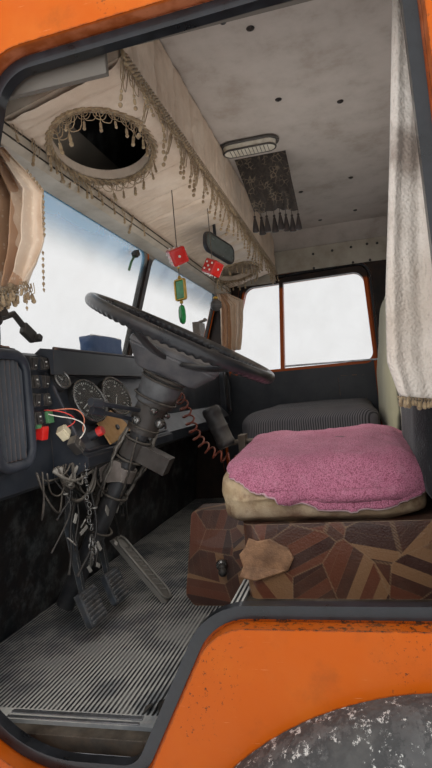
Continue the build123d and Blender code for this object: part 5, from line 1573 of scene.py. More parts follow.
# %% Steering wheel
WHEEL_AT = Vector(COLUMN_TOP)
WHEEL_TILT = math.radians(30)
WHEEL_TURN = math.radians(20)
RIM_RADIUS = 0.255
RIM_THICK = 0.0162
HUB_RADIUS = 0.05
GRIPS = 76
wheel_up = Vector((0, math.sin(WHEEL_TILT), math.cos(WHEEL_TILT)))
wheel_back = Vector((0, math.cos(WHEEL_TILT), -math.sin(WHEEL_TILT)))
wheel_across = Vector((1, 0, 0))


def on_wheel(angle, reach, high):
    """A point by angle round the wheel, distance from its middle and height over the rim's plane."""
    out = wheel_across * math.cos(angle) + wheel_back * math.sin(angle)
    return WHEEL_AT + out * reach + wheel_up * high


bm = bmesh.new()
rings = []
for angle in angles(GRIPS * 7):
    grip = math.cos(angle * GRIPS)
    ring = []
    for around in angles(18):
        under = max(0.0, -math.sin(around + 0.5)) ** 0.7
        radius = RIM_THICK - 0.0012 * under + 0.0022 * under * grip
        ring.append(on_wheel(angle, RIM_RADIUS + radius * math.cos(around), radius * math.sin(around)))
    rings.append(ring)
skin(bm, rings, closed=True)
wheel_rim = piece("wheel_rim", bm, wheel_rubber, body="steering_wheel")
bm = bmesh.new()
for spoke in (-30, 30, 150, 210):
    angle = WHEEL_TURN + math.radians(spoke)
    out = wheel_across * math.cos(angle) + wheel_back * math.sin(angle)
    side = wheel_up.cross(out)
    rings = []
    for share in (0.0, 0.15, 0.4, 0.65, 0.85, 0.96, 1.0):
        reach = HUB_RADIUS + (RIM_RADIUS - 0.004 - HUB_RADIUS) * share
        high = -0.062 + 0.058 * share ** 1.4
        wide = 0.046 - 0.02 * share + 0.010 * max(0.0, share - 0.8) * 5
        middle = WHEEL_AT + out * reach + wheel_up * high
        ring = [middle + side * x + wheel_up * y for x, y in rounded(wide, 0.013, 0.006, 3)]
        rings.append(ring)
    skin(bm, rings)
piece("wheel_spokes", bm, wheel_rubber, body="steering_wheel")
pad_grey = worn(
    "wheel_pad", hue(66, 66, 70), hue(88, 86, 86), rough=0.5, scale=24.0, grain_scale=700.0, depth=0.16,
    relief=0.0006, wear=hue(132, 128, 124), wear_amount=0.7, dusty=0.35, dust_colour=hue(150, 142, 132),
)
bm = bmesh.new()
pad_across = wheel_across * math.cos(WHEEL_TURN) + wheel_back * math.sin(WHEEL_TURN)
pad_along = wheel_up.cross(pad_across)
rings = []
for high, wide, long in (
    (-0.036, 0.118, 0.208), (-0.034, 0.140, 0.232), (-0.040, 0.158, 0.248), (-0.050, 0.160, 0.250),
    (-0.054, 0.152, 0.242), (-0.058, 0.154, 0.244), (-0.092, 0.106, 0.196), (-0.108, 0.086, 0.174),
    (-0.1118, 0.074, 0.160),
):
    middle = WHEEL_AT + wheel_up * high
    rings.append([middle + pad_across * x + pad_along * y for x, y in rounded(wide, long, 0.022, 5)])
skin(bm, rings[::-1])
wheel_pad = piece("wheel_pad", bm, pad_grey, body="steering_wheel", smooth=False)
settle(wheel_pad, "BEVEL", "soft edges", width=0.0012, segments=2, limit_method="ANGLE")
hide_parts("steering_wheel")
print("rim grips:", GRIPS)

# %% [markdown]
# A driver looks straight at the instruments, which stand on a plane that leans back. Everything on it is
# worked out flat, with X to the driver's right, and set on the plane by one matrix. Faces are matt black,
# the ticks are raised like print under glass, and the rims are thin chrome gone dull.

# %% Instruments
DASH_FACE_Y = 0.050
CLUSTER_TOP_Z = 1.020
CLUSTER_SLOPE = 0.4
DIAL_OUT = 0.012
DIAL_LEAN = 0.20           # the dials are turned to the driver's door
DIALS = (
    # X, height, radius, first and last degree of the scale, ticks, degree of the needle
    (0.745, 0.930, 0.063, 225, -45, 31, 205),
    (0.566, 0.938, 0.063, 225, -45, 26, 232),
    (0.826, 0.992, 0.027, 150, 30, 7, 120),
)
cluster_out = Vector((0, 1, CLUSTER_SLOPE)).normalized()
cluster_down = Vector((0, CLUSTER_SLOPE, -1)).normalized()
CLUSTER_TURN = Matrix(((-1, 0, 0), -cluster_down, cluster_out)).transposed()


def on_cluster(x, z, out=0.0):
    """A point on the instruments' sloping plane, or a little out from it."""
    return Vector((x, DASH_FACE_Y + CLUSTER_SLOPE * (CLUSTER_TOP_Z - z), z)) + cluster_out * out


def cluster_frame(x, z, out):
    """The frame of an instrument that stands on that plane."""
    return Matrix.Translation(on_cluster(x, z, out)) @ CLUSTER_TURN.to_4x4()


dial_black = worn(
    "dial_black", hue(16, 16, 18), hue(28, 28, 30), rough=0.6, grain_scale=900.0, dusty=0.15,
)
dial_white = worn(
    "dial_white", hue(214, 214, 206), hue(180, 180, 172), rough=0.6, grain_scale=900.0, dusty=0.1,
)
dull_chrome = worn(
    "dull_chrome", hue(176, 176, 174), hue(120, 116, 110), rough=0.25, metal=0.9, scale=60.0,
    grain_scale=900.0, depth=0.06, relief=0.0003, dusty=0.35,
)
faces_bm, marks_bm, rims_bm, glass_bm = bmesh.new(), bmesh.new(), bmesh.new(), bmesh.new()
for x, z, radius, first, last, ticks, needle in DIALS:
    lean = Matrix.Rotation(-DIAL_LEAN, 4, "Y")
    seat = cluster_frame(x, z, DIAL_OUT + 0.001 + radius * math.sin(DIAL_LEAN)) @ lean
    upright = seat.to_3x3()
    disc(faces_bm, seat @ Matrix.Translation((0, 0, -0.015)), radius - 0.001, 0.028)
    disc(faces_bm, seat, radius - 0.0063, 0.001)
    inner = radius - 0.009
    for n in range(ticks):
        angle = math.radians(first + (last - first) * n / (ticks - 1))
        turn = upright @ Matrix.Rotation(angle, 3, "Z")
        long = inner * (0.16 if n % 5 == 0 else 0.08)
        middle = seat @ polar(angle, inner - long / 2, 0.0008)
        block(marks_bm, middle, (long, radius * 0.02, 0.0006), turn, soft=0)
        if n % 5 == 0 and radius > 0.03:
            for shift in (-0.0026, 0.0026):
                figure = polar(angle, inner * 0.66, 0.0008) + Vector((shift, 0, 0))
                block(marks_bm, seat @ figure, (0.0017, 0.0042, 0.0006), upright, soft=0)
    angle = math.radians(needle)
    turn = upright @ Matrix.Rotation(angle, 3, "Z")
    middle = seat @ polar(angle, inner * 0.32, 0.0018)
    block(marks_bm, middle, (inner * 0.9, radius * 0.035, 0.0007), turn, soft=0)
    bead(rims_bm, seat @ Vector((0, 0, 0.002)), 0.004)
    hoop(rims_bm, [seat @ polar(a, radius - 0.003, 0.0042) for a in angles(56)], 0.0034, 8)
    disc(glass_bm, seat @ Matrix.Translation((0, 0, 0.0038)), radius - 0.006, 0.0008)
piece("dial_faces", faces_bm, dial_black, smooth=False)
piece("dial_marks", marks_bm, dial_white, smooth=False)
piece("dial_rims", rims_bm, dull_chrome)
dial_glass, tree, shader = new_material("dial_glass")
film = use(tree, patches, Scale=60.0, Amount=0.5, Softness=0.3)["Mask"]
join(tree, plus(tree, 0.02, times(tree, film, 0.05)), shader, "Alpha")
join(tree, blend_colour(tree, film, hue(170, 176, 176), hue(176, 166, 150)), shader, "Base Color")
shader.inputs["Roughness"].default_value = 0.08
piece("dial_covers", glass_bm, dial_glass, smooth=False)

# %% [markdown]
# Nobody has kept this dashboard tidy. One switch has been pulled out on its wires, a red rocker and a
# push button have been added, and a scrap of plywood closes a hole beside the column. Each is a small
# block, tilted as it was left.

# %% Switches
SWITCH_X = (0.877, 0.923)
SWITCH_Z = (1.040, 0.996, 0.952, 0.908)
SWITCH_FACE_Y = 0.062
PULLED_OUT = (0, 3)
PLYWOOD = ((0.742, 0.886), (0.628, 0.902), (0.566, 0.862), (0.560, 0.836), (0.640, 0.820), (0.720, 0.812))
BUTTON_AT = (0.777, 0.847)


def painted(name, colour, rough=0.4, dusty=0.2, coat=0.1):
    """A small plain part in one worn colour."""
    faded = tuple(c * 0.7 for c in colour[:3]) + (1,)
    return worn(
        name, colour, faded, rough=rough, dusty=dusty, grain_scale=600.0, relief=0.0004,
        wear=hue(120, 112, 104), wear_amount=0.4, coat=coat,
    )


switch_black = painted("switch_black", hue(30, 29, 31), dusty=0.35)
signal_red = painted("signal_red", hue(204, 30, 26), rough=0.35, dusty=0.12, coat=0.3)
leaf_green = painted("leaf_green", hue(70, 120, 78), dusty=0.25)
ivory = painted("ivory_plastic", hue(206, 192, 160), dusty=0.25)
caps, marks = bmesh.new(), bmesh.new()
for column, x in enumerate(SWITCH_X):
    for row, z in enumerate(SWITCH_Z):
        if (column, row) == PULLED_OUT:
            continue
        lean = (9, -9, 9, -9)[(row + column) % 4]
        block(caps, (x, SWITCH_FACE_Y + 0.0042, z), (0.0195, 0.0075, 0.027), tilted(x=lean), soft=0.0018)
        block(caps, (x, SWITCH_FACE_Y + 0.0012, z), (0.026, 0.0018, 0.031), soft=0.0006)
        block(marks, (x, SWITCH_FACE_Y + 0.0082, z + 0.004), (0.0065, 0.0008, 0.0035), tilted(x=lean), soft=0)
        bead(marks, (x, SWITCH_FACE_Y + 0.0078, z - 0.006), 0.0018, 6, 4)
piece("switch_caps", caps, switch_black, smooth=False)
piece("switch_marks", marks, dial_white, smooth=False)
bm = bmesh.new()
block(bm, (0.877, SWITCH_FACE_Y + 0.004, 0.908), (0.026, 0.009, 0.030), tilted(x=6), soft=0.002)
block(bm, (0.923, 0.062, 0.8885), (0.018, 0.010, 0.010), soft=0.002)
piece("green_switch", bm, leaf_green, smooth=False)
bm = bmesh.new()
block(bm, (0.905, 0.060, 0.872), (0.027, 0.020, 0.033), tilted(x=-10), soft=0.003)
for out, radius in ((0.030, 0.0125), (0.036, 0.0135)):
    disc(bm, cluster_frame(*BUTTON_AT, out), radius, 0.010, segments=14, taper=0.86)
piece("red_switches", bm, signal_red, smooth=False)
bm = bmesh.new()
hanging_askew = tilted(x=24, y=34, z=14)
block(bm, (0.868, 0.096, 0.866), (0.026, 0.020, 0.030), hanging_askew, soft=0.002)
block(bm, (0.866, 0.104, 0.872), (0.020, 0.006, 0.022), hanging_askew, soft=0.001)
pulled_switch = piece("pulled_switch", bm, ivory, smooth=False)
bm = bmesh.new()
hanging_askew = tilted(x=18, y=40, z=10)
block(bm, (0.866, 0.126, 0.834), (0.028, 0.022, 0.040), hanging_askew, soft=0.002)
block(bm, (0.861, 0.139, 0.832), (0.018, 0.004, 0.022), hanging_askew, soft=0.001)
loose_plug = piece("loose_plug", bm, switch_black, smooth=False)
plywood = worn(
    "plywood", hue(178, 138, 88), hue(158, 116, 70), rough=0.7, scale=26.0, grain_scale=120.0, depth=0.4,
    relief=0.0008, wear=hue(96, 64, 36), wear_amount=0.8, dusty=0.25,
)
bm = bmesh.new()
skin(bm, [[on_cluster(x, z, out) for x, z in PLYWOOD] for out in (0.0135, 0.0185)])
plywood_scrap = piece("plywood_scrap", bm, plywood, smooth=False)
settle(plywood_scrap, "BEVEL", "soft edges", width=0.0008, segments=1)

# %% [markdown]
# Three short free wires come out of the dashboard: one to the pulled-out switch, one to the loose plug and
# one with a bare end. Each is a smooth curve through a few points. It is measured first and thickened
# after that, and the length that it measures is printed.

# %% Switch leads
wire_red = painted("wire_red", hue(206, 44, 34), dusty=0.1)
wire_orange = painted("wire_orange", hue(222, 128, 96), dusty=0.1)
wire_pale = painted("wire_pale", hue(214, 206, 192), dusty=0.1)
RED_PATH = [
    (0.885, 0.058, 0.926), (0.874, 0.084, 0.924), (0.848, 0.112, 0.908), (0.846, 0.122, 0.888),
    (0.862, 0.104, 0.880),
]
ORANGE_PATH = [
    (0.880, 0.058, 0.922), (0.862, 0.092, 0.926), (0.826, 0.118, 0.922), (0.822, 0.134, 0.896),
    (0.838, 0.132, 0.874), (0.846, 0.138, 0.864),
]
PALE_PATH = [
    (0.889, 0.058, 0.920), (0.884, 0.082, 0.910), (0.850, 0.124, 0.898), (0.834, 0.140, 0.878),
    (0.850, 0.140, 0.856), (0.862, 0.130, 0.846),
]


def smooth_curve(name, points, resolution=None):
    """A curve object that runs smoothly from the first point to the last."""
    data = bpy.data.curves.new(name, "CURVE")
    data.dimensions = "3D"
    spline = data.splines.new("NURBS")
    spline.points.add(len(points) - 1)
    for target, point in zip(spline.points, points):
        target.co = (*point, 1)
    spline.order_u = 3
    spline.use_endpoint_u = True
    if resolution:
        spline.resolution_u = resolution
    made = bpy.data.objects.new(name, data)
    bpy.context.scene.collection.objects.link(made)
    return made


def measured(made):
    """The points along a bare curve and its length."""
    along = [vert.co.copy() for vert in bpy.data.meshes.new_from_object(made).vertices]
    return along, sum((b - a).length for a, b in zip(along, along[1:]))


def thicken(made, diameter, material):
    """Makes a round cord of a bare curve."""
    made.data.bevel_depth = diameter / 2
    made.data.bevel_resolution = 3
    made.data.use_fill_caps = True
    made.data.materials.append(material)


def lead(name, points, diameter, material):
    """A free wire through its points."""
    made = smooth_curve(name, points, resolution=8)
    length = measured(made)[1]
    thicken(made, diameter, material)
    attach(made, "cab")
    print(name, "is", round(length, 3), "m")


lead("switch_lead_red", RED_PATH, 0.0032, wire_red)
lead("switch_lead_orange", ORANGE_PATH, 0.0030, wire_orange)
lead("switch_lead_pale", PALE_PATH, 0.0030, wire_pale)

# %% [markdown]
# On top of the dashboard lies a blue pouch, and the phone holder stands at the near corner on its jointed
# arm, with a rag pushed under its foot. The pouch is a padded thing, so it is a rounded block that has
# been squashed and wrinkled rather than a plain box.

# %% On the dashboard
pouch_blue = worn(
    "pouch_blue", hue(38, 62, 98), hue(54, 80, 114), rough=0.75, scale=22.0, grain_scale=500.0, depth=0.5,
    relief=0.001, wear=hue(110, 120, 134), wear_amount=0.4, dusty=0.3, sheen=0.2,
)
bm = bmesh.new()
pouch_low, pouch_high = Vector((0.300, -0.020, 1.069)), Vector((0.560, 0.040, 1.150))
middle, half = (pouch_low + pouch_high) / 2, (pouch_high - pouch_low) / 2
bmesh.ops.create_cube(bm, size=2)
bmesh.ops.subdivide_edges(bm, edges=bm.edges, cuts=14, use_grid_fill=True)
for vert in bm.verts:
    flat = vert.co.copy()
    for axis in range(3):
        others = [abs(flat[k]) for k in range(3) if k != axis]
        vert.co[axis] = flat[axis] * (1 - 0.10 * max(others) ** 5 - 0.05 * others[0] ** 2)
    vert.co += vert.co.normalized() * 0.05 * noise.noise(flat * 1.7)
    vert.co = vert.co * half * 0.94 + middle
    vert.co.z = max(vert.co.z, pouch_low.z)
pouch = piece("dash_pouch", bm, pouch_blue)
bm = bmesh.new()
tube(bm, [(0.32 + 0.22 * n / 10, 0.030 + 0.004 * math.sin(n), 1.143) for n in range(11)], 0.0022, sides=6)
piece("pouch_zip", bm, dial_white)
bm = bmesh.new()
block(bm, (0.985, 0.010, 1.0715), (0.070, 0.060, 0.012), tilted(z=8), soft=0.004)
tube(bm, [(0.985, 0.010, 1.075), (0.975, 0.006, 1.105), (0.990, 0.018, 1.140)], 0.009, sides=10)
bead(bm, (0.990, 0.018, 1.142), 0.016, 12, 8)
tube(bm, [(0.990, 0.018, 1.142), (0.940, 0.032, 1.160), (0.905, 0.036, 1.130)], 0.008, sides=10)
block(bm, (0.985, 0.026, 1.178), (0.034, 0.014, 0.062), tilted(x=8, y=12), soft=0.003)
block(bm, (0.894, 0.038, 1.118), (0.050, 0.016, 0.030), tilted(y=-28), soft=0.004)
block(bm, (0.872, 0.044, 1.106), (0.016, 0.030, 0.016), tilted(y=-28), soft=0.003)
piece("phone_holder", bm, switch_black, smooth=False)
rag_cloth = worn(
    "rag_cloth", hue(142, 96, 66), hue(112, 72, 50), rough=0.9, scale=40.0, grain_scale=600.0, depth=0.7,
    relief=0.0015,
)
bm = bmesh.new()
bmesh.ops.create_icosphere(bm, subdivisions=4, radius=1)
for vert in bm.verts:
    crease = 1 + 0.35 * noise.noise(vert.co * 2.2) + 0.16 * noise.noise(vert.co * 6)
    spread = Vector((vert.co.x * 0.075, vert.co.y * 0.032, max(0.0, vert.co.z) * 0.020))
    vert.co = Vector((0.985, -0.008, 1.070)) + spread * crease
    vert.co.z = max(vert.co.z, 1.0695)
rag = piece("dash_rag", bm, rag_cloth)

# %% [markdown]
# The dashboard's rear edge and the border round the instruments are rolled, and arms have rubbed them
# brown. Both are tubes in the vents' plastic.

# %% Rubbed edges of the dashboard
bm = bmesh.new()
tube(bm, [(0.205 + 0.65 * k / 20, 0.0805, 1.0775) for k in range(21)], 0.0042, sides=8)
border = [cluster_frame(0.525 + x, 0.9125 + z, 0.001).translation for x, z in rounded(0.640, 0.196, 0.030, 6)]
hoop(bm, border, 0.0048, 8)
piece("dash_edges", bm, vent_plastic)

# %% [markdown]
# The gear lever ends in a thick black grip. It is turned, so rings of points along its axis make it.

# %% Lever grip
grip_rubber = worn(
    "grip_rubber", hue(24, 24, 26), hue(40, 39, 40), rough=0.42, scale=30.0, grain_scale=500.0, depth=0.2,
    relief=0.0006, wear=hue(96, 92, 88), wear_amount=0.4, dusty=0.3,
)
GRIP_FOOT = Vector((0.380, 0.390, 0.757))
GRIP_TOP = Vector((0.378, 0.342, 0.884))
grip_up = (GRIP_TOP - GRIP_FOOT).normalized()
grip_side = grip_up.orthogonal().normalized()
grip_third = grip_up.cross(grip_side)
bm = bmesh.new()
rings = []
for high, radius in (
    (0.002, 0.0284), (0.012, 0.0302), (0.020, 0.0302), (0.022, 0.0288), (0.060, 0.0288), (0.062, 0.0300),
    (0.070, 0.0300), (0.072, 0.0288), (0.112, 0.0288), (0.114, 0.0302), (0.126, 0.0302), (0.133, 0.0285),
    (0.1375, 0.0240), (0.1385, 0.0150),
):
    middle = GRIP_FOOT + grip_up * high
    rings.append([
        middle + (grip_side * math.cos(a) + grip_third * math.sin(a)) * radius
        for a in angles(28)
    ])
skin(bm, rings)
piece("lever_grip", bm, grip_rubber)

# %% [markdown]
# A coiled air hose runs to the grip from under the dashboard. It is a helix: its axis is the smooth curve
# that the solid follows, and a loop along that axis carries a frame with it, so that the turns never flip.

# %% Coiled hose
HOSE_ROUTE = [
    (0.600, 0.290, 0.945), (0.564, 0.290, 0.945), (0.520, 0.295, 0.918), (0.492, 0.302, 0.870),
    (0.465, 0.308, 0.817), (0.437, 0.325, 0.771), (0.413, 0.358, 0.737), (0.404, 0.397, 0.722),
    (0.404, 0.433, 0.722),
]
HOSE_THICK = 0.0058
HOSE_TURNS = 14
COIL_RADIUS = 0.0150


def helix(points, turns, radius, per_turn=18):
    """Points of a coil round a line; the coil opens out from the line at both ends."""
    lengths = [0.0]
    for a, b in zip(points, points[1:]):
        lengths.append(lengths[-1] + (b - a).length)
    whole = lengths[-1]
    along = (points[1] - points[0]).normalized()
    side = along.orthogonal().normalized()
    made, segment = [], 0
    count = turns * per_turn
    for n in range(count + 1):
        at = whole * n / count
        while segment < len(points) - 2 and lengths[segment + 1] < at:
            segment += 1
        part = (at - lengths[segment]) / max(1e-9, lengths[segment + 1] - lengths[segment])
        middle = points[segment].lerp(points[segment + 1], part)
        along = (points[segment + 1] - points[segment]).normalized()
        side = (side - along * side.dot(along)).normalized()
        angle = 2 * math.pi * n / per_turn
        open_out = min(1.0, n / per_turn, (count - n) / per_turn)
        out = side * math.cos(angle) + along.cross(side) * math.sin(angle)
        made.append(middle + out * radius * open_out)
    return made


route = smooth_curve("hose_axis", HOSE_ROUTE)
axis_points = measured(route)[0]
bpy.data.objects.remove(route)
coil = helix(axis_points, HOSE_TURNS, COIL_RADIUS)
hose = smooth_curve("lever_air_hose", coil, resolution=2)
hose_length = measured(hose)[1]
thicken(hose, HOSE_THICK, hose_rubber)
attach(hose, "cab")
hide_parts("lever_hose")
print("hose:", round(hose_length, 3), "m in", HOSE_TURNS, "turns")

# %% [markdown]
# Two dice hang from the shelf with smaller charms below them. Each die is a block with soft edges, turned
# so that a corner shows, and its pips are shallow beads on the faces, one to six as on any die.

# %% Charms
DIE = 0.052
PIP_STEP = 0.0125
DICE = (((0.450, 0.300, 1.367), (22, 18, 32)), ((0.200, 0.350, 1.372), (-14, 24, 62)))
FIRST = Vector((0.450, 0.300, 1.261))       # middle of the framed charm, below the first die
BALL = Vector((0.200, 0.350, 1.240))        # the ball below the second
DROP_PROFILE = (
    (1.2135, 0.003), (1.208, 0.008), (1.196, 0.0105), (1.176, 0.0110), (1.160, 0.0085), (1.1535, 0.003),
)


def pips(face):
    """Places of the pips on one face, from -1 to 1."""
    layout = {
        1: [(0, 0)], 2: [(-1, -1), (1, 1)], 3: [(-1, -1), (0, 0), (1, 1)],
        4: [(-1, -1), (-1, 1), (1, -1), (1, 1)], 5: [(-1, -1), (-1, 1), (1, -1), (1, 1), (0, 0)],
        6: [(-1, -1), (-1, 0), (-1, 1), (1, -1), (1, 0), (1, 1)],
    }
    return layout[face]


dice, dots = bmesh.new(), bmesh.new()
for middle, leans in DICE:
    middle, turn = Vector(middle), tilted(*leans)
    block(dice, middle, (DIE, DIE, DIE), turn, soft=0.008, steps=4)
    for face, (axis, sign) in enumerate(((0, 1), (1, 1), (2, 1), (2, -1), (1, -1), (0, -1)), start=1):
        for u, v in pips(face):
            place = [0.0, 0.0, 0.0]
            place[axis] = sign * DIE / 2
            place[(axis + 1) % 3] = u * PIP_STEP
            place[(axis + 2) % 3] = v * PIP_STEP
            bead(dots, middle + turn @ Vector(place), 0.0042, 10, 6)
die_bodies = piece("dice", dice, die_red)
piece("dice_pips", dots, dial_white)
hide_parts("charms")
gilt = worn(
    "gilt", hue(206, 172, 84), hue(168, 132, 60), rough=0.32, metal=0.7, scale=50.0, grain_scale=600.0,
    depth=0.1, relief=0.0004, dusty=0.2,
)
glass_green = worn(
    "green_resin", hue(24, 128, 62), hue(14, 96, 46), rough=0.2, scale=60.0, grain_scale=400.0, depth=0.3,
    dusty=0.08, coat=0.6,
)
bm = bmesh.new()
corners = rounded(0.040, 0.062, 0.006, 4)
frame_turn = tilted(z=64)
for y in (-0.002, 0.002):
    hoop(bm, [FIRST + frame_turn @ Vector((x, y, z)) for x, z in corners], 0.0034, 8)
bead(bm, (0.450, 0.300, 1.299), 0.006, 10, 7)
bead(bm, (0.450, 0.300, 1.222), 0.006, 10, 7)
bead(bm, (0.200, 0.350, 1.266), (0.009, 0.009, 0.006), 10, 7)
bead(bm, (0.450, 0.300, 1.330), 0.0045, 10, 7)
piece("charm_gilt", bm, gilt)
bm = bmesh.new()
block(bm, FIRST, (0.034, 0.005, 0.056), frame_turn, soft=0.002)
rings = []
for high, radius in DROP_PROFILE:
    petals = [polar(a, radius * (1 + 0.16 * math.cos(5 * a)), high) for a in angles(20)]
    rings.append([Vector((FIRST.x, FIRST.y, 0)) + point for point in petals])
skin(bm, rings)
piece("charm_green", bm, glass_green)
bm = bmesh.new()
bead(bm, BALL, (0.0195, 0.0195, 0.0215), 24, 16)
for high in (-0.0085, 0.0, 0.0085):
    hoop(bm, [BALL + polar(a, 0.0196, high) for a in angles(30)], 0.0011, 5)
piece("charm_ball", bm, grip_rubber)

# %% [markdown]
# A mirror's glass is a thin plate of bright metal behind its housing's lip. The ceiling lamp is a long
# lens in a dark rim with bars across it.

# %% Mirror and lamp
mirror_silver, tree, shader = new_material("mirror_silver")
film = use(tree, patches, Scale=30.0, Amount=0.5, Softness=0.3)["Mask"]
join(tree, blend_colour(tree, film, hue(130, 142, 140), hue(104, 112, 108)), shader, "Base Color")
join(tree, ramp(tree, film, 0.0, 1.0, 0.12, 0.3), shader, "Roughness")
shader.inputs["Metallic"].default_value = 0.55
MIRROR_AT = Vector((0.010, 0.329, 1.487))
mirror_across = Vector((0.95, -0.3, 0.15)).normalized()
mirror_face = Vector((0.3, 0.95, 0)).normalized()
mirror_up = mirror_face.cross(mirror_across)


def on_mirror(outline, out):
    """An outline set in front of the mirror's middle."""
    return [MIRROR_AT + mirror_across * x + mirror_up * y + mirror_face * out for x, y in outline]


bm = bmesh.new()
skin(bm, [
    on_mirror(rounded(0.192, 0.064, 0.022, 6), 0.0161), on_mirror(rounded(0.191, 0.063, 0.022, 6), 0.0172),
])
piece("mirror_glass", bm, mirror_silver, smooth=False)
bm = bmesh.new()
hoop(bm, on_mirror(rounded(0.200, 0.072, 0.026, 6), 0.016), 0.0034, 8)
bead(bm, MIRROR_AT + Vector((0, -0.004, 0.030)), 0.012, 12, 8)
piece("mirror_lip", bm, grip_rubber)
LAMP_AT = Vector((0.170, 0.514, 1.7745))
lamp_grey = painted("lamp_grey", hue(72, 70, 68), dusty=0.3)
bm = bmesh.new()
for wide, long, high, thick in ((0.078, 0.200, 0.019, 0.006), (0.062, 0.184, -0.003, 0.0035)):
    path = [LAMP_AT + Vector((x, y, high)) for x, y in rounded(wide, long, wide / 2 - 0.0005, 8)]
    hoop(bm, path, thick, 8)
piece("lamp_rim", bm, lamp_grey)
bar = bmesh.new()
block(bar, (0, 0, 0), (0.0022, 0.050, 0.0022), soft=0)
repeat(
    "lamp_bars", [[LAMP_AT + Vector((0, y, -0.0052)) for y in (-0.066, 0.066)]], bar, 0.012, lamp_grey,
    uneven=0.0, turn=0.0, seed=2,
)

# %% [markdown]
# Buttons hold the ceiling's lining up, and screws the boards above the doors. A straight line sent at the
# CAD node finds the place of each, so that they sit on the real surface.

# %% Ceiling buttons and screws
BUTTONS = (
    (0.777, 0.632), (0.420, 0.652), (0.329, 0.833), (-0.350, 0.860), (-0.827, 0.878), (-0.903, 0.697),
    (-0.420, 0.640),
)
SCREWS = (
    (0.632, 1.677), (0.740, 1.681), (0.845, 1.685), (0.933, 1.690), (0.987, 1.686), (0.629, 1.595),
    (0.848, 1.597), (0.941, 1.598),
)


def touch(node_name, origin, direction):
    """Where a straight line meets a CAD node, and its normal there."""
    hit, at, normal, _ = nodes[node_name].ray_cast(Vector(origin), Vector(direction).normalized())
    return (at, normal) if hit else (Vector(origin), -Vector(direction).normalized())


bm = bmesh.new()
for x, y in BUTTONS:
    at, normal = touch("headliner", (x, y, 1.5), (0, 0, 1))
    bead(bm, at + normal * 0.001, (0.0105, 0.0105, 0.0045), 14, 8)
    bead(bm, at + normal * 0.005, (0.0035, 0.0035, 0.002), 8, 5)
piece("ceiling_buttons", bm, switch_black)
bm = bmesh.new()
for side in (-1, 1):
    for y, z in SCREWS:
        at, normal = touch("header_trims", (0, y, z), (side, 0, 0))
        if abs(at.x) > 0.9:
            bead(bm, at + normal * 0.001, (0.0035, 0.0075, 0.0075), 12, 8)
piece("trim_screws", bm, switch_black)

# %% [markdown]
# The air vents have a frame like a bent tube, worn brown where arms rub it, and slats set at an angle.
# The slats are one unit repeated across both vents by the Geometry Nodes tree.

# %% Vents
VENT_X = (0.966, 1.116)
VENT_Z = (0.798, 1.066)
VENT_RIM = 0.022
vent_middle = (sum(VENT_X) / 2, sum(VENT_Z) / 2)
vent_outline = rounded(VENT_X[1] - VENT_X[0] - VENT_RIM, VENT_Z[1] - VENT_Z[0] - VENT_RIM, 0.040, 7)
bm = bmesh.new()
for side in (-1, 1):
    path = [(side * (vent_middle[0] + x), 0.0745, vent_middle[1] + z) for x, z in vent_outline]
    hoop(bm, path, 0.0118, 12)
piece("vent_rims", bm, vent_plastic)
slat = bmesh.new()
block(slat, (0, 0, 0), (0.0032, 0.020, 0.222), tilted(z=38), soft=0.0009)
slat_ends = (VENT_X[0] + 0.024, VENT_X[1] - 0.024)
repeat(
    "vent_slats", [[(side * x, 0.0665, vent_middle[1]) for x in slat_ends] for side in (-1, 1)], slat,
    0.0168, vent_plastic, uneven=0.0, turn=0.02, seed=6,
)

# %% [markdown]
# Under the dashboard hang the looms that somebody has pulled out to reach a fault: bundles of wires,
# strapped to the column and clipped below the lip. They follow the column by its own angle, so that each
# bundle lies on the tube. A bunch of keys hangs beside them on a chain.

# %% Looms
LIP_Z = 0.788
KEYS_AT = Vector((0.866, 0.146, 0.782))
LINK_STEP = 0.0095
column_down = -wheel_up


def on_column(down, round_angle, off):
    """A point beside the column, by distance down from the rim's plane."""
    spread = Vector((math.cos(round_angle), 0, 0)) + wheel_back * math.sin(round_angle)
    return WHEEL_AT + column_down * down + spread * off


loom_black = worn(
    "loom_black", hue(30, 28, 27), hue(60, 54, 48), rough=0.55, scale=60.0, grain_scale=400.0, depth=0.3,
    dusty=0.45,
)
loom_grey = worn(
    "loom_grey", hue(118, 112, 104), hue(88, 82, 74), rough=0.6, scale=60.0, grain_scale=400.0, depth=0.3,
    dusty=0.4,
)
black_looms, grey_looms = bmesh.new(), bmesh.new()
draw = random.Random(21)
for n in range(13):
    start, long = draw.uniform(0.24, 0.34), draw.uniform(0.14, 0.34)
    angle, drift = draw.uniform(0, 2 * math.pi), draw.uniform(-0.9, 0.9)
    thick = draw.choice((0.0022, 0.003, 0.0042, 0.0055))
    path = []
    for k in range(13):
        share = k / 12
        bulge = 0.012 * math.sin(math.pi * share) * draw.uniform(0.6, 1.4)
        path.append(on_column(start + long * share, angle + drift * share, 0.033 + thick + bulge))
    tube(grey_looms if n % 3 == 0 else black_looms, path, thick, sides=7)
for n in range(15):
    x0, x1 = draw.uniform(0.70, 1.04), draw.uniform(0.50, 1.0)
    drop, thick = draw.uniform(0.02, 0.11), draw.choice((0.0018, 0.0025, 0.0035, 0.005))
    y0, y1 = draw.uniform(0.085, 0.135), draw.uniform(0.085, 0.130)
    path = []
    for k in range(15):
        share = k / 14
        sag = 4 * drop * share * (1 - share)
        y = y0 + (y1 - y0) * share + 0.006 * math.sin(7 * share + n)
        path.append((x0 + (x1 - x0) * share, y, LIP_Z - sag))
    tube(grey_looms if n % 4 == 0 else black_looms, path, thick, sides=7)
for down in (0.30, 0.36, 0.47, 0.58):
    hoop(black_looms, [on_column(down, a, 0.0385) for a in angles(24)], 0.0035, 6)
piece("black_looms", black_looms, loom_black)
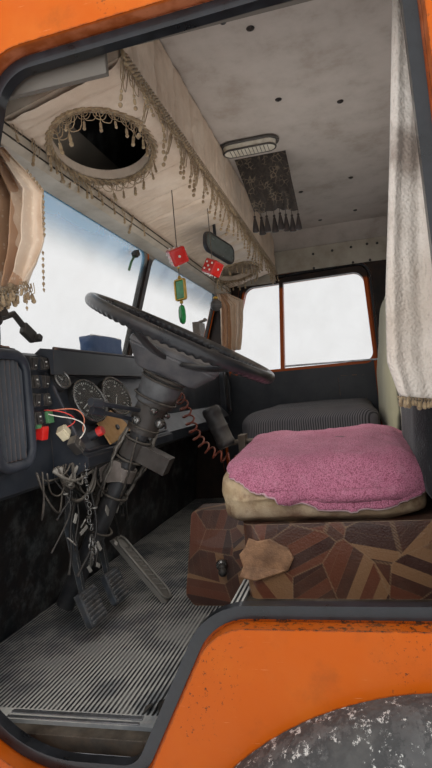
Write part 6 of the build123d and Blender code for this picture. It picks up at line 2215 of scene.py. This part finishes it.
piece("grey_looms", grey_looms, loom_grey)
bm = bmesh.new()
link = [Vector((0.0042 * math.cos(a), 0.0064 * math.sin(a), 0)) for a in angles(12)]
for n in range(17):
    link_turn = tilted(x=90 if n % 2 else 0, z=25 + 9 * n) @ tilted(x=90)
    middle = KEYS_AT + Vector((0.002 * math.sin(n), 0.003 * math.sin(n * 1.3), -LINK_STEP * n))
    hoop(bm, [middle + link_turn @ point for point in link], 0.0013, 5)
for n, (turn, long) in enumerate(((10, 0.046), (38, 0.052), (-24, 0.042), (66, 0.040))):
    middle = KEYS_AT + Vector((0, 0, -0.185 - 0.008 * n))
    spin = tilted(y=turn * 0.5, z=turn)
    block(bm, middle + spin @ Vector((0, 0, -long / 2)), (0.0075, 0.0022, long), spin, soft=0.0006)
    head = [middle + spin @ Vector((0.011 * math.cos(a), 0, 0.006 + 0.010 * math.sin(a))) for a in angles(16)]
    hoop(bm, head, 0.0028, 6)
piece("key_bunch", bm, dull_chrome)

# %% [markdown]
# The throttle is a long plate with a raised edge and treads, and the two pads have rubber covers with
# ribs. The ribs are repeated down each pad along its own slope.

# %% Pedal treads
pad_rubber = worn(
    "pad_rubber", hue(58, 66, 76), hue(40, 42, 46), rough=0.6, scale=40.0, grain_scale=400.0, depth=0.3,
    wear=hue(140, 138, 134), dusty=0.45,
)
THROTTLE = (Vector((0.478, 0.030, 0.505)), Vector((0.478, 0.186, 0.3123)))
throttle_down = (THROTTLE[1] - THROTTLE[0]).normalized()
throttle_out = Vector((0, -throttle_down.z, throttle_down.y)).normalized()
throttle_middle = (THROTTLE[0] + THROTTLE[1]) / 2
throttle_long = (THROTTLE[1] - THROTTLE[0]).length


def on_throttle(x, along, out):
    """A point on the throttle's plate, or a little out from it."""
    return throttle_middle + Vector((x, 0, 0)) + throttle_down * along + throttle_out * out


bm = bmesh.new()
plate = rounded(0.052, throttle_long - 0.006, 0.025, 7)
hoop(bm, [on_throttle(x, y, 0.004) for x, y in plate], 0.0038, 8)
piece("throttle_rim", bm, pedal_metal)
treads = bmesh.new()
block(treads, (0, 0, 0), (0.030, 0.004, 0.0035), soft=0.001)
tread_rows = [[on_throttle(x, along, 0.0025) for along in (-0.080, 0.085)] for x in (-0.0002, 0.0002)]
repeat(
    "throttle_treads", tread_rows, treads, 0.017, pedal_metal, uneven=0.0, turn=0.0, seed=4,
)
for pad, middle_x in enumerate((0.610, 0.760), start=1):
    top, foot = Vector((middle_x, 0.060, 0.440)), Vector((middle_x, 0.090, 0.360))
    down = (foot - top).normalized()
    out = Vector((0, -down.z, down.y)).normalized()
    middle = (top + foot) / 2
    bm = bmesh.new()
    rings = []
    for high, shrink in ((-0.012, 0.0), (-0.010, -0.006), (0.004, -0.006), (0.0065, -0.001), (0.0070, 0.006)):
        rings.append([
            middle + Vector((x, 0, 0)) + down * y + out * high
            for x, y in rounded(0.080 - shrink, 0.086 - shrink, 0.010, 4)
        ])
    skin(bm, rings)
    for n in range(7):
        at = middle + down * (n - 3) * 0.0118 + out * 0.0082
        turn = Matrix((Vector((1, 0, 0)), down, out)).transposed()
        block(bm, at, (0.074, 0.0052, 0.0045), turn, soft=0.001)
    piece("pedal_pad_%d" % pad, bm, pad_rubber, smooth=False)

# %% [markdown]
# Two bare aluminium strips hold the mat down along the sill, and beads and small drops finish the cloth
# in front: a string down each side of the near curtain, and loose drops along the header rail. A little
# box with a green tag is fixed to the windscreen.

# %% Strips and beads
strip_metal = worn(
    "strip_metal", hue(196, 198, 204), hue(150, 150, 152), rough=0.3, metal=0.85, scale=30.0, depth=0.08,
    relief=0.0003,
)
bm = bmesh.new()
for x, wide in ((1.086, 0.011), (1.104, 0.007)):
    foot = min(touch("floor_mat", (x, y, 0.6), (0, 0, -1))[0].z for y in (0.10, 0.20, 0.30))
    block(bm, (x, 0.195, foot + 0.0016), (wide, 0.29, 0.003), soft=0.001)
piece("sill_strips", bm, strip_metal, smooth=False)
beads = bmesh.new()
tube(beads, [(0, 0, 0), (0, 0, -0.012)], 0.0008, sides=4)
bead(beads, (0, 0, -0.005), (0.0034, 0.0034, 0.0040), 8, 5)
bead(beads, (0, 0, -0.010), (0.0018, 0.0018, 0.0018), 6, 4)
repeat(
    "curtain_beads",
    [
        [(1.052, 0.200, 1.392), (1.053, 0.198, 1.345), (1.052, 0.195, 1.300)],
        [(1.052, 0.188, 1.262), (1.052, 0.183, 1.184)],
        [(1.056, 0.145, 1.204), (1.056, 0.142, 1.150)],
        [(1.052, 0.168, 1.440), (1.052, 0.186, 1.415), (1.052, 0.200, 1.392)],
    ],
    beads, 0.0115, gold_thread, uneven=0.2, turn=0.1, seed=8,
)
front_edge = spaced((1.050, 0.142, 1.5425), (0.300, 0.142, 1.5425), 0.01)
repeat(
    "front_drops", [front_edge], fringe_unit(0.030, 0.066, 0.0010), 0.083, gold_thread,
    uneven=0.4, turn=0.35, seed=15,
)
bm = bmesh.new()
block(bm, (0.178, 0.058, 1.470), (0.034, 0.022, 0.022), tilted(y=30), soft=0.003)
piece("screen_box", bm, switch_black, smooth=False)
bm = bmesh.new()
tube(bm, [(0.186, 0.056, 1.462), (0.225, 0.056, 1.430), (0.252, 0.056, 1.396)], 0.0045, sides=8)
piece("screen_tag", bm, leaf_green)

# %% [markdown]
# The photograph's footwell is a tangle. Hoses and cables run down from below the dashboard, and clips and
# brackets catch the light between them. They are drawn with a fixed seed, each hose as a bent tube from
# a place below the dashboard to one lower down, behind the pedals.

# %% Footwell clutter
hose_black = painted("hose_black", hue(22, 23, 25))
clip_metal = painted("clip_metal", hue(150, 146, 138), dusty=0.3)
draw = random.Random(37)
hoses, clips = bmesh.new(), bmesh.new()
for n in range(13):
    top = Vector((draw.uniform(0.52, 0.90), draw.uniform(0.070, 0.085), draw.uniform(0.68, 0.78)))
    foot = top + Vector((draw.uniform(-0.09, 0.09), draw.uniform(-0.01, 0.02), -draw.uniform(0.10, 0.24)))
    foot.y = max(0.075, foot.y)
    bend = Vector((draw.uniform(-0.05, 0.05), draw.uniform(0.0, 0.03), 0))
    thick = draw.choice((0.0022, 0.003, 0.004, 0.006))
    path = []
    for k in range(13):
        share = k / 12
        waver = Vector((0.006 * math.sin(9 * share + n), 0, 0))
        path.append(top.lerp(foot, share) + bend * math.sin(math.pi * share) + waver)
    tube(hoses, path, thick, sides=8)
    if n % 2:
        at = path[draw.randint(3, 9)]
        hoop(clips, [at + polar(a, thick + 0.002) for a in angles(12)], 0.0022, 6)
for n in range(12):
    at = Vector((draw.uniform(0.56, 0.98), draw.uniform(0.10, 0.13), draw.uniform(0.50, 0.74)))
    size = (draw.uniform(0.008, 0.028), 0.003, draw.uniform(0.008, 0.03))
    block(clips, at, size, tilted(draw.uniform(-60, 60), draw.uniform(-60, 60)), soft=0.0008)
piece("footwell_hoses", hoses, hose_black)
piece("footwell_clips", clips, clip_metal, smooth=False)

# %% [markdown]
# A flap of the seat base's covering has torn and curls outward at its foot. The tool box below has a round
# knob, and a metal strip runs along the far door.

# %% Seat base details
TORN = (
    (0.520, 0.530), (0.556, 0.522), (0.597, 0.533), (0.627, 0.543), (0.641, 0.568), (0.630, 0.590),
    (0.611, 0.599), (0.594, 0.610), (0.566, 0.605), (0.547, 0.612), (0.537, 0.592), (0.523, 0.577),
    (0.530, 0.552),
)
bm = bmesh.new()
rings = []
base_face = touch("driver_seat_base", (1.3, 0.62, 0.60), (-1, 0, 0))[0].x
for out, shrink in ((0.001, 0.0), (0.0045, 0.0), (0.006, 0.003)):
    ring = []
    for y, z in TORN:
        curl = 0.008 * max(0.0, (0.575 - z) / 0.05) ** 2
        toward = Vector((0, 0.58 - y, 0.57 - z)) * (shrink / 0.05)
        ring.append(Vector((base_face + out + curl, y, z)) + toward)
    rings.append(ring)
skin(bm, rings)
flap_tan = worn(
    "flap_tan", hue(150, 110, 78), hue(104, 74, 52), rough=0.55, scale=30.0, grain_scale=300.0, depth=0.4,
    relief=0.002, wear=hue(70, 46, 34), wear_amount=0.8, dusty=0.2,
)
piece("torn_flap", bm, flap_tan, smooth=False)
bm = bmesh.new()
tube(bm, [(0.516, 0.372, 0.436), (0.556, 0.384, 0.420)], 0.011, sides=16)
bead(bm, (0.560, 0.385, 0.419), 0.013, 14, 9)
piece("box_knob", bm, grip_rubber)
bm = bmesh.new()
tube(bm, [(0.524, 0.3745, 0.4325), (0.534, 0.3775, 0.4285)], 0.0165, sides=18)
piece("box_ring", bm, dull_chrome)
bm = bmesh.new()
block(bm, (-1.131, 0.698, 1.046), (0.006, 0.57, 0.010), tilted(x=-1.1), soft=0.0015)
piece("door_strip", bm, strip_metal, body="passenger_door", smooth=False)

# %% [markdown]
# The far door's trim is scuffed: broken brown lines run along the four edges of a rectangle.

# %% Door scuffs
SCUFFED = ((0.708, 0.967), (0.916, 0.959), (0.904, 0.825), (0.712, 0.830), (0.708, 0.967))
bm = bmesh.new()
draw = random.Random(11)
for (y0, z0), (y1, z1) in zip(SCUFFED, SCUFFED[1:]):
    for n in range(5):
        share = draw.uniform(0.0, 0.8)
        long = draw.uniform(0.06, 0.2)
        ends = [(y0 + (y1 - y0) * s, z0 + (z1 - z0) * s) for s in (share, min(1.0, share + long))]
        shift = draw.uniform(-0.003, 0.003)
        surface = [touch("passenger_door_trim", (-0.9, y, z + shift), (-1, 0, 0))[0] for y, z in ends]
        if all(-1.2 < at.x < -1.0 for at in surface):
            tube(bm, [at + Vector((0.0004, 0, 0)) for at in surface], 0.0011, sides=5)
piece("door_scuffs", bm, flap_tan, body="passenger_door")

# %% [markdown]
# Bands go round the steering column's shroud and tube, and short bosses stand out from the switch housing.
# Both are placed down the column and by the angle round it.

# %% Column fittings
BANDS = (
    # down from the rim's plane, radius, thickness
    (0.116, 0.0600, 0.0040), (0.128, 0.0590, 0.0030), (0.178, 0.0590, 0.0030), (0.196, 0.0440, 0.0035),
    (0.262, 0.0440, 0.0030),
)
BOSSES = (
    # down from the rim's plane, angle, radius, thickness
    (0.205, 0.5, 0.046, 0.010), (0.232, 1.2, 0.046, 0.013), (0.214, 2.2, 0.046, 0.008),
    (0.246, -0.2, 0.045, 0.011), (0.225, 3.4, 0.045, 0.012),
)
bm = bmesh.new()
for down, radius, thick in BANDS:
    hoop(bm, [on_column(down, a, radius) for a in angles(40)], thick, 8)
piece("column_bands", bm, loom_black)
bm = bmesh.new()
for down, angle, radius, thick in BOSSES:
    start, end = on_column(down, angle, radius - 0.006), on_column(down, angle, radius + 0.010)
    tube(bm, [start, end], thick, sides=16)
    tube(bm, [end, end + (end - start) * 0.2], thick * 0.55, sides=12)
piece("column_bosses", bm, dull_chrome)

# %% [markdown]
# The mat is torn at the sill, where feet drag over it, and three small flaps stand up from the tear.

# %% Torn mat
FLAPS = (
    # foot, reach along X and Y, height
    ((1.035, 0.352), (0.040, 0.014), 0.020), ((1.030, 0.372), (0.050, -0.008), 0.014),
    ((1.045, 0.330), (0.026, 0.020), 0.012),
)
bm = bmesh.new()
mat_top = touch("floor_mat", (1.02, 0.34, 0.6), (0, 0, -1))[0].z
for (x, y), (dx, dy), high in FLAPS:
    ring_low = [
        Vector((x, y, mat_top)), Vector((x + dx, y + dy * 0.2, mat_top)),
        Vector((x + dx * 0.6, y + dy, mat_top + high)),
        Vector((x - dx * 0.1, y + dy * 0.8, mat_top + high * 0.4)),
    ]
    skin(bm, [ring_low, [point + Vector((0, 0, 0.003)) for point in ring_low]])
piece("mat_tear", bm, grip_rubber, smooth=False)

# %% [markdown]
# The light is daylight from all round, as on an overcast day, which is what reaches a cab through its
# windows. Four lamps help it: one large soft lamp and one lower down stand outside the open door, one
# fills the cab and one the footwell. The camera and mirror-like surfaces see plain white, not the lamps.

# %% Light and floor
def lamp(name, kind, energy, size, colour, place, aim=None):
    """A lamp that neither the camera nor a mirror sees; an area lamp is aimed at a point."""
    light = bpy.data.lights.new(name, kind)
    light.energy = energy
    light.color = colour
    made = bpy.data.objects.new(name, light)
    if aim:
        light.size = size
        turn = (Vector(aim) - Vector(place)).to_track_quat("-Z", "Y")
        made.matrix_world = Matrix.Translation(place) @ turn.to_matrix().to_4x4()
    else:
        light.shadow_soft_size = size
        made.location = place
    bpy.context.scene.collection.objects.link(made)
    made.visible_camera = False
    made.visible_glossy = False


world = bpy.data.worlds.new("world")
bpy.context.scene.world = world
world.use_nodes = True
sky = world.node_tree
background = sky.nodes["Background"]
path = put(sky, "LightPath")
seen = either(sky, path.outputs["Is Camera Ray"], path.outputs["Is Transmission Ray"])
seen = either(sky, seen, path.outputs["Is Glossy Ray"])
strength = blend_colour(sky, seen, (0.93, 0.96, 1.0, 1), (1, 1, 1, 1))
sky.links.new(strength, background.inputs["Color"])
background.inputs["Strength"].default_value = 0.95
lamp("door_light", "AREA", 16, 2.2, (1.0, 0.98, 0.95), (3.2, 1.1, 2.6), aim=(0.9, 0.6, 0.9))
lamp("foot_light", "AREA", 18, 1.4, (0.93, 0.965, 1.0), (2.3, -0.1, 1.25), aim=(0.7, 0.35, 0.4))
lamp("low_light", "POINT", 1.7, 0.16, (0.96, 0.98, 1.0), (1.00, 0.22, 0.86))
lamp("cab_light", "POINT", 8, 0.35, (1.0, 0.97, 0.93), (0.35, 0.62, 1.12))
bpy.context.scene.view_settings.view_transform = "Standard"
bpy.ops.mesh.primitive_plane_add(size=14, location=(0, 0.6, -0.06))
floor = bpy.context.object
floor.name = "studio_floor"
floor_paint, tree, shader = new_material("studio_floor")
grit = clouds(tree, object_place(tree), 3.0)
join(tree, blend_colour(tree, grit, hue(226, 226, 224), hue(234, 234, 232)), shader, "Base Color")
shader.inputs["Roughness"].default_value = 0.9
floor.data.materials.append(floor_paint)
print("floor at", round(floor.location.z, 3), "m")
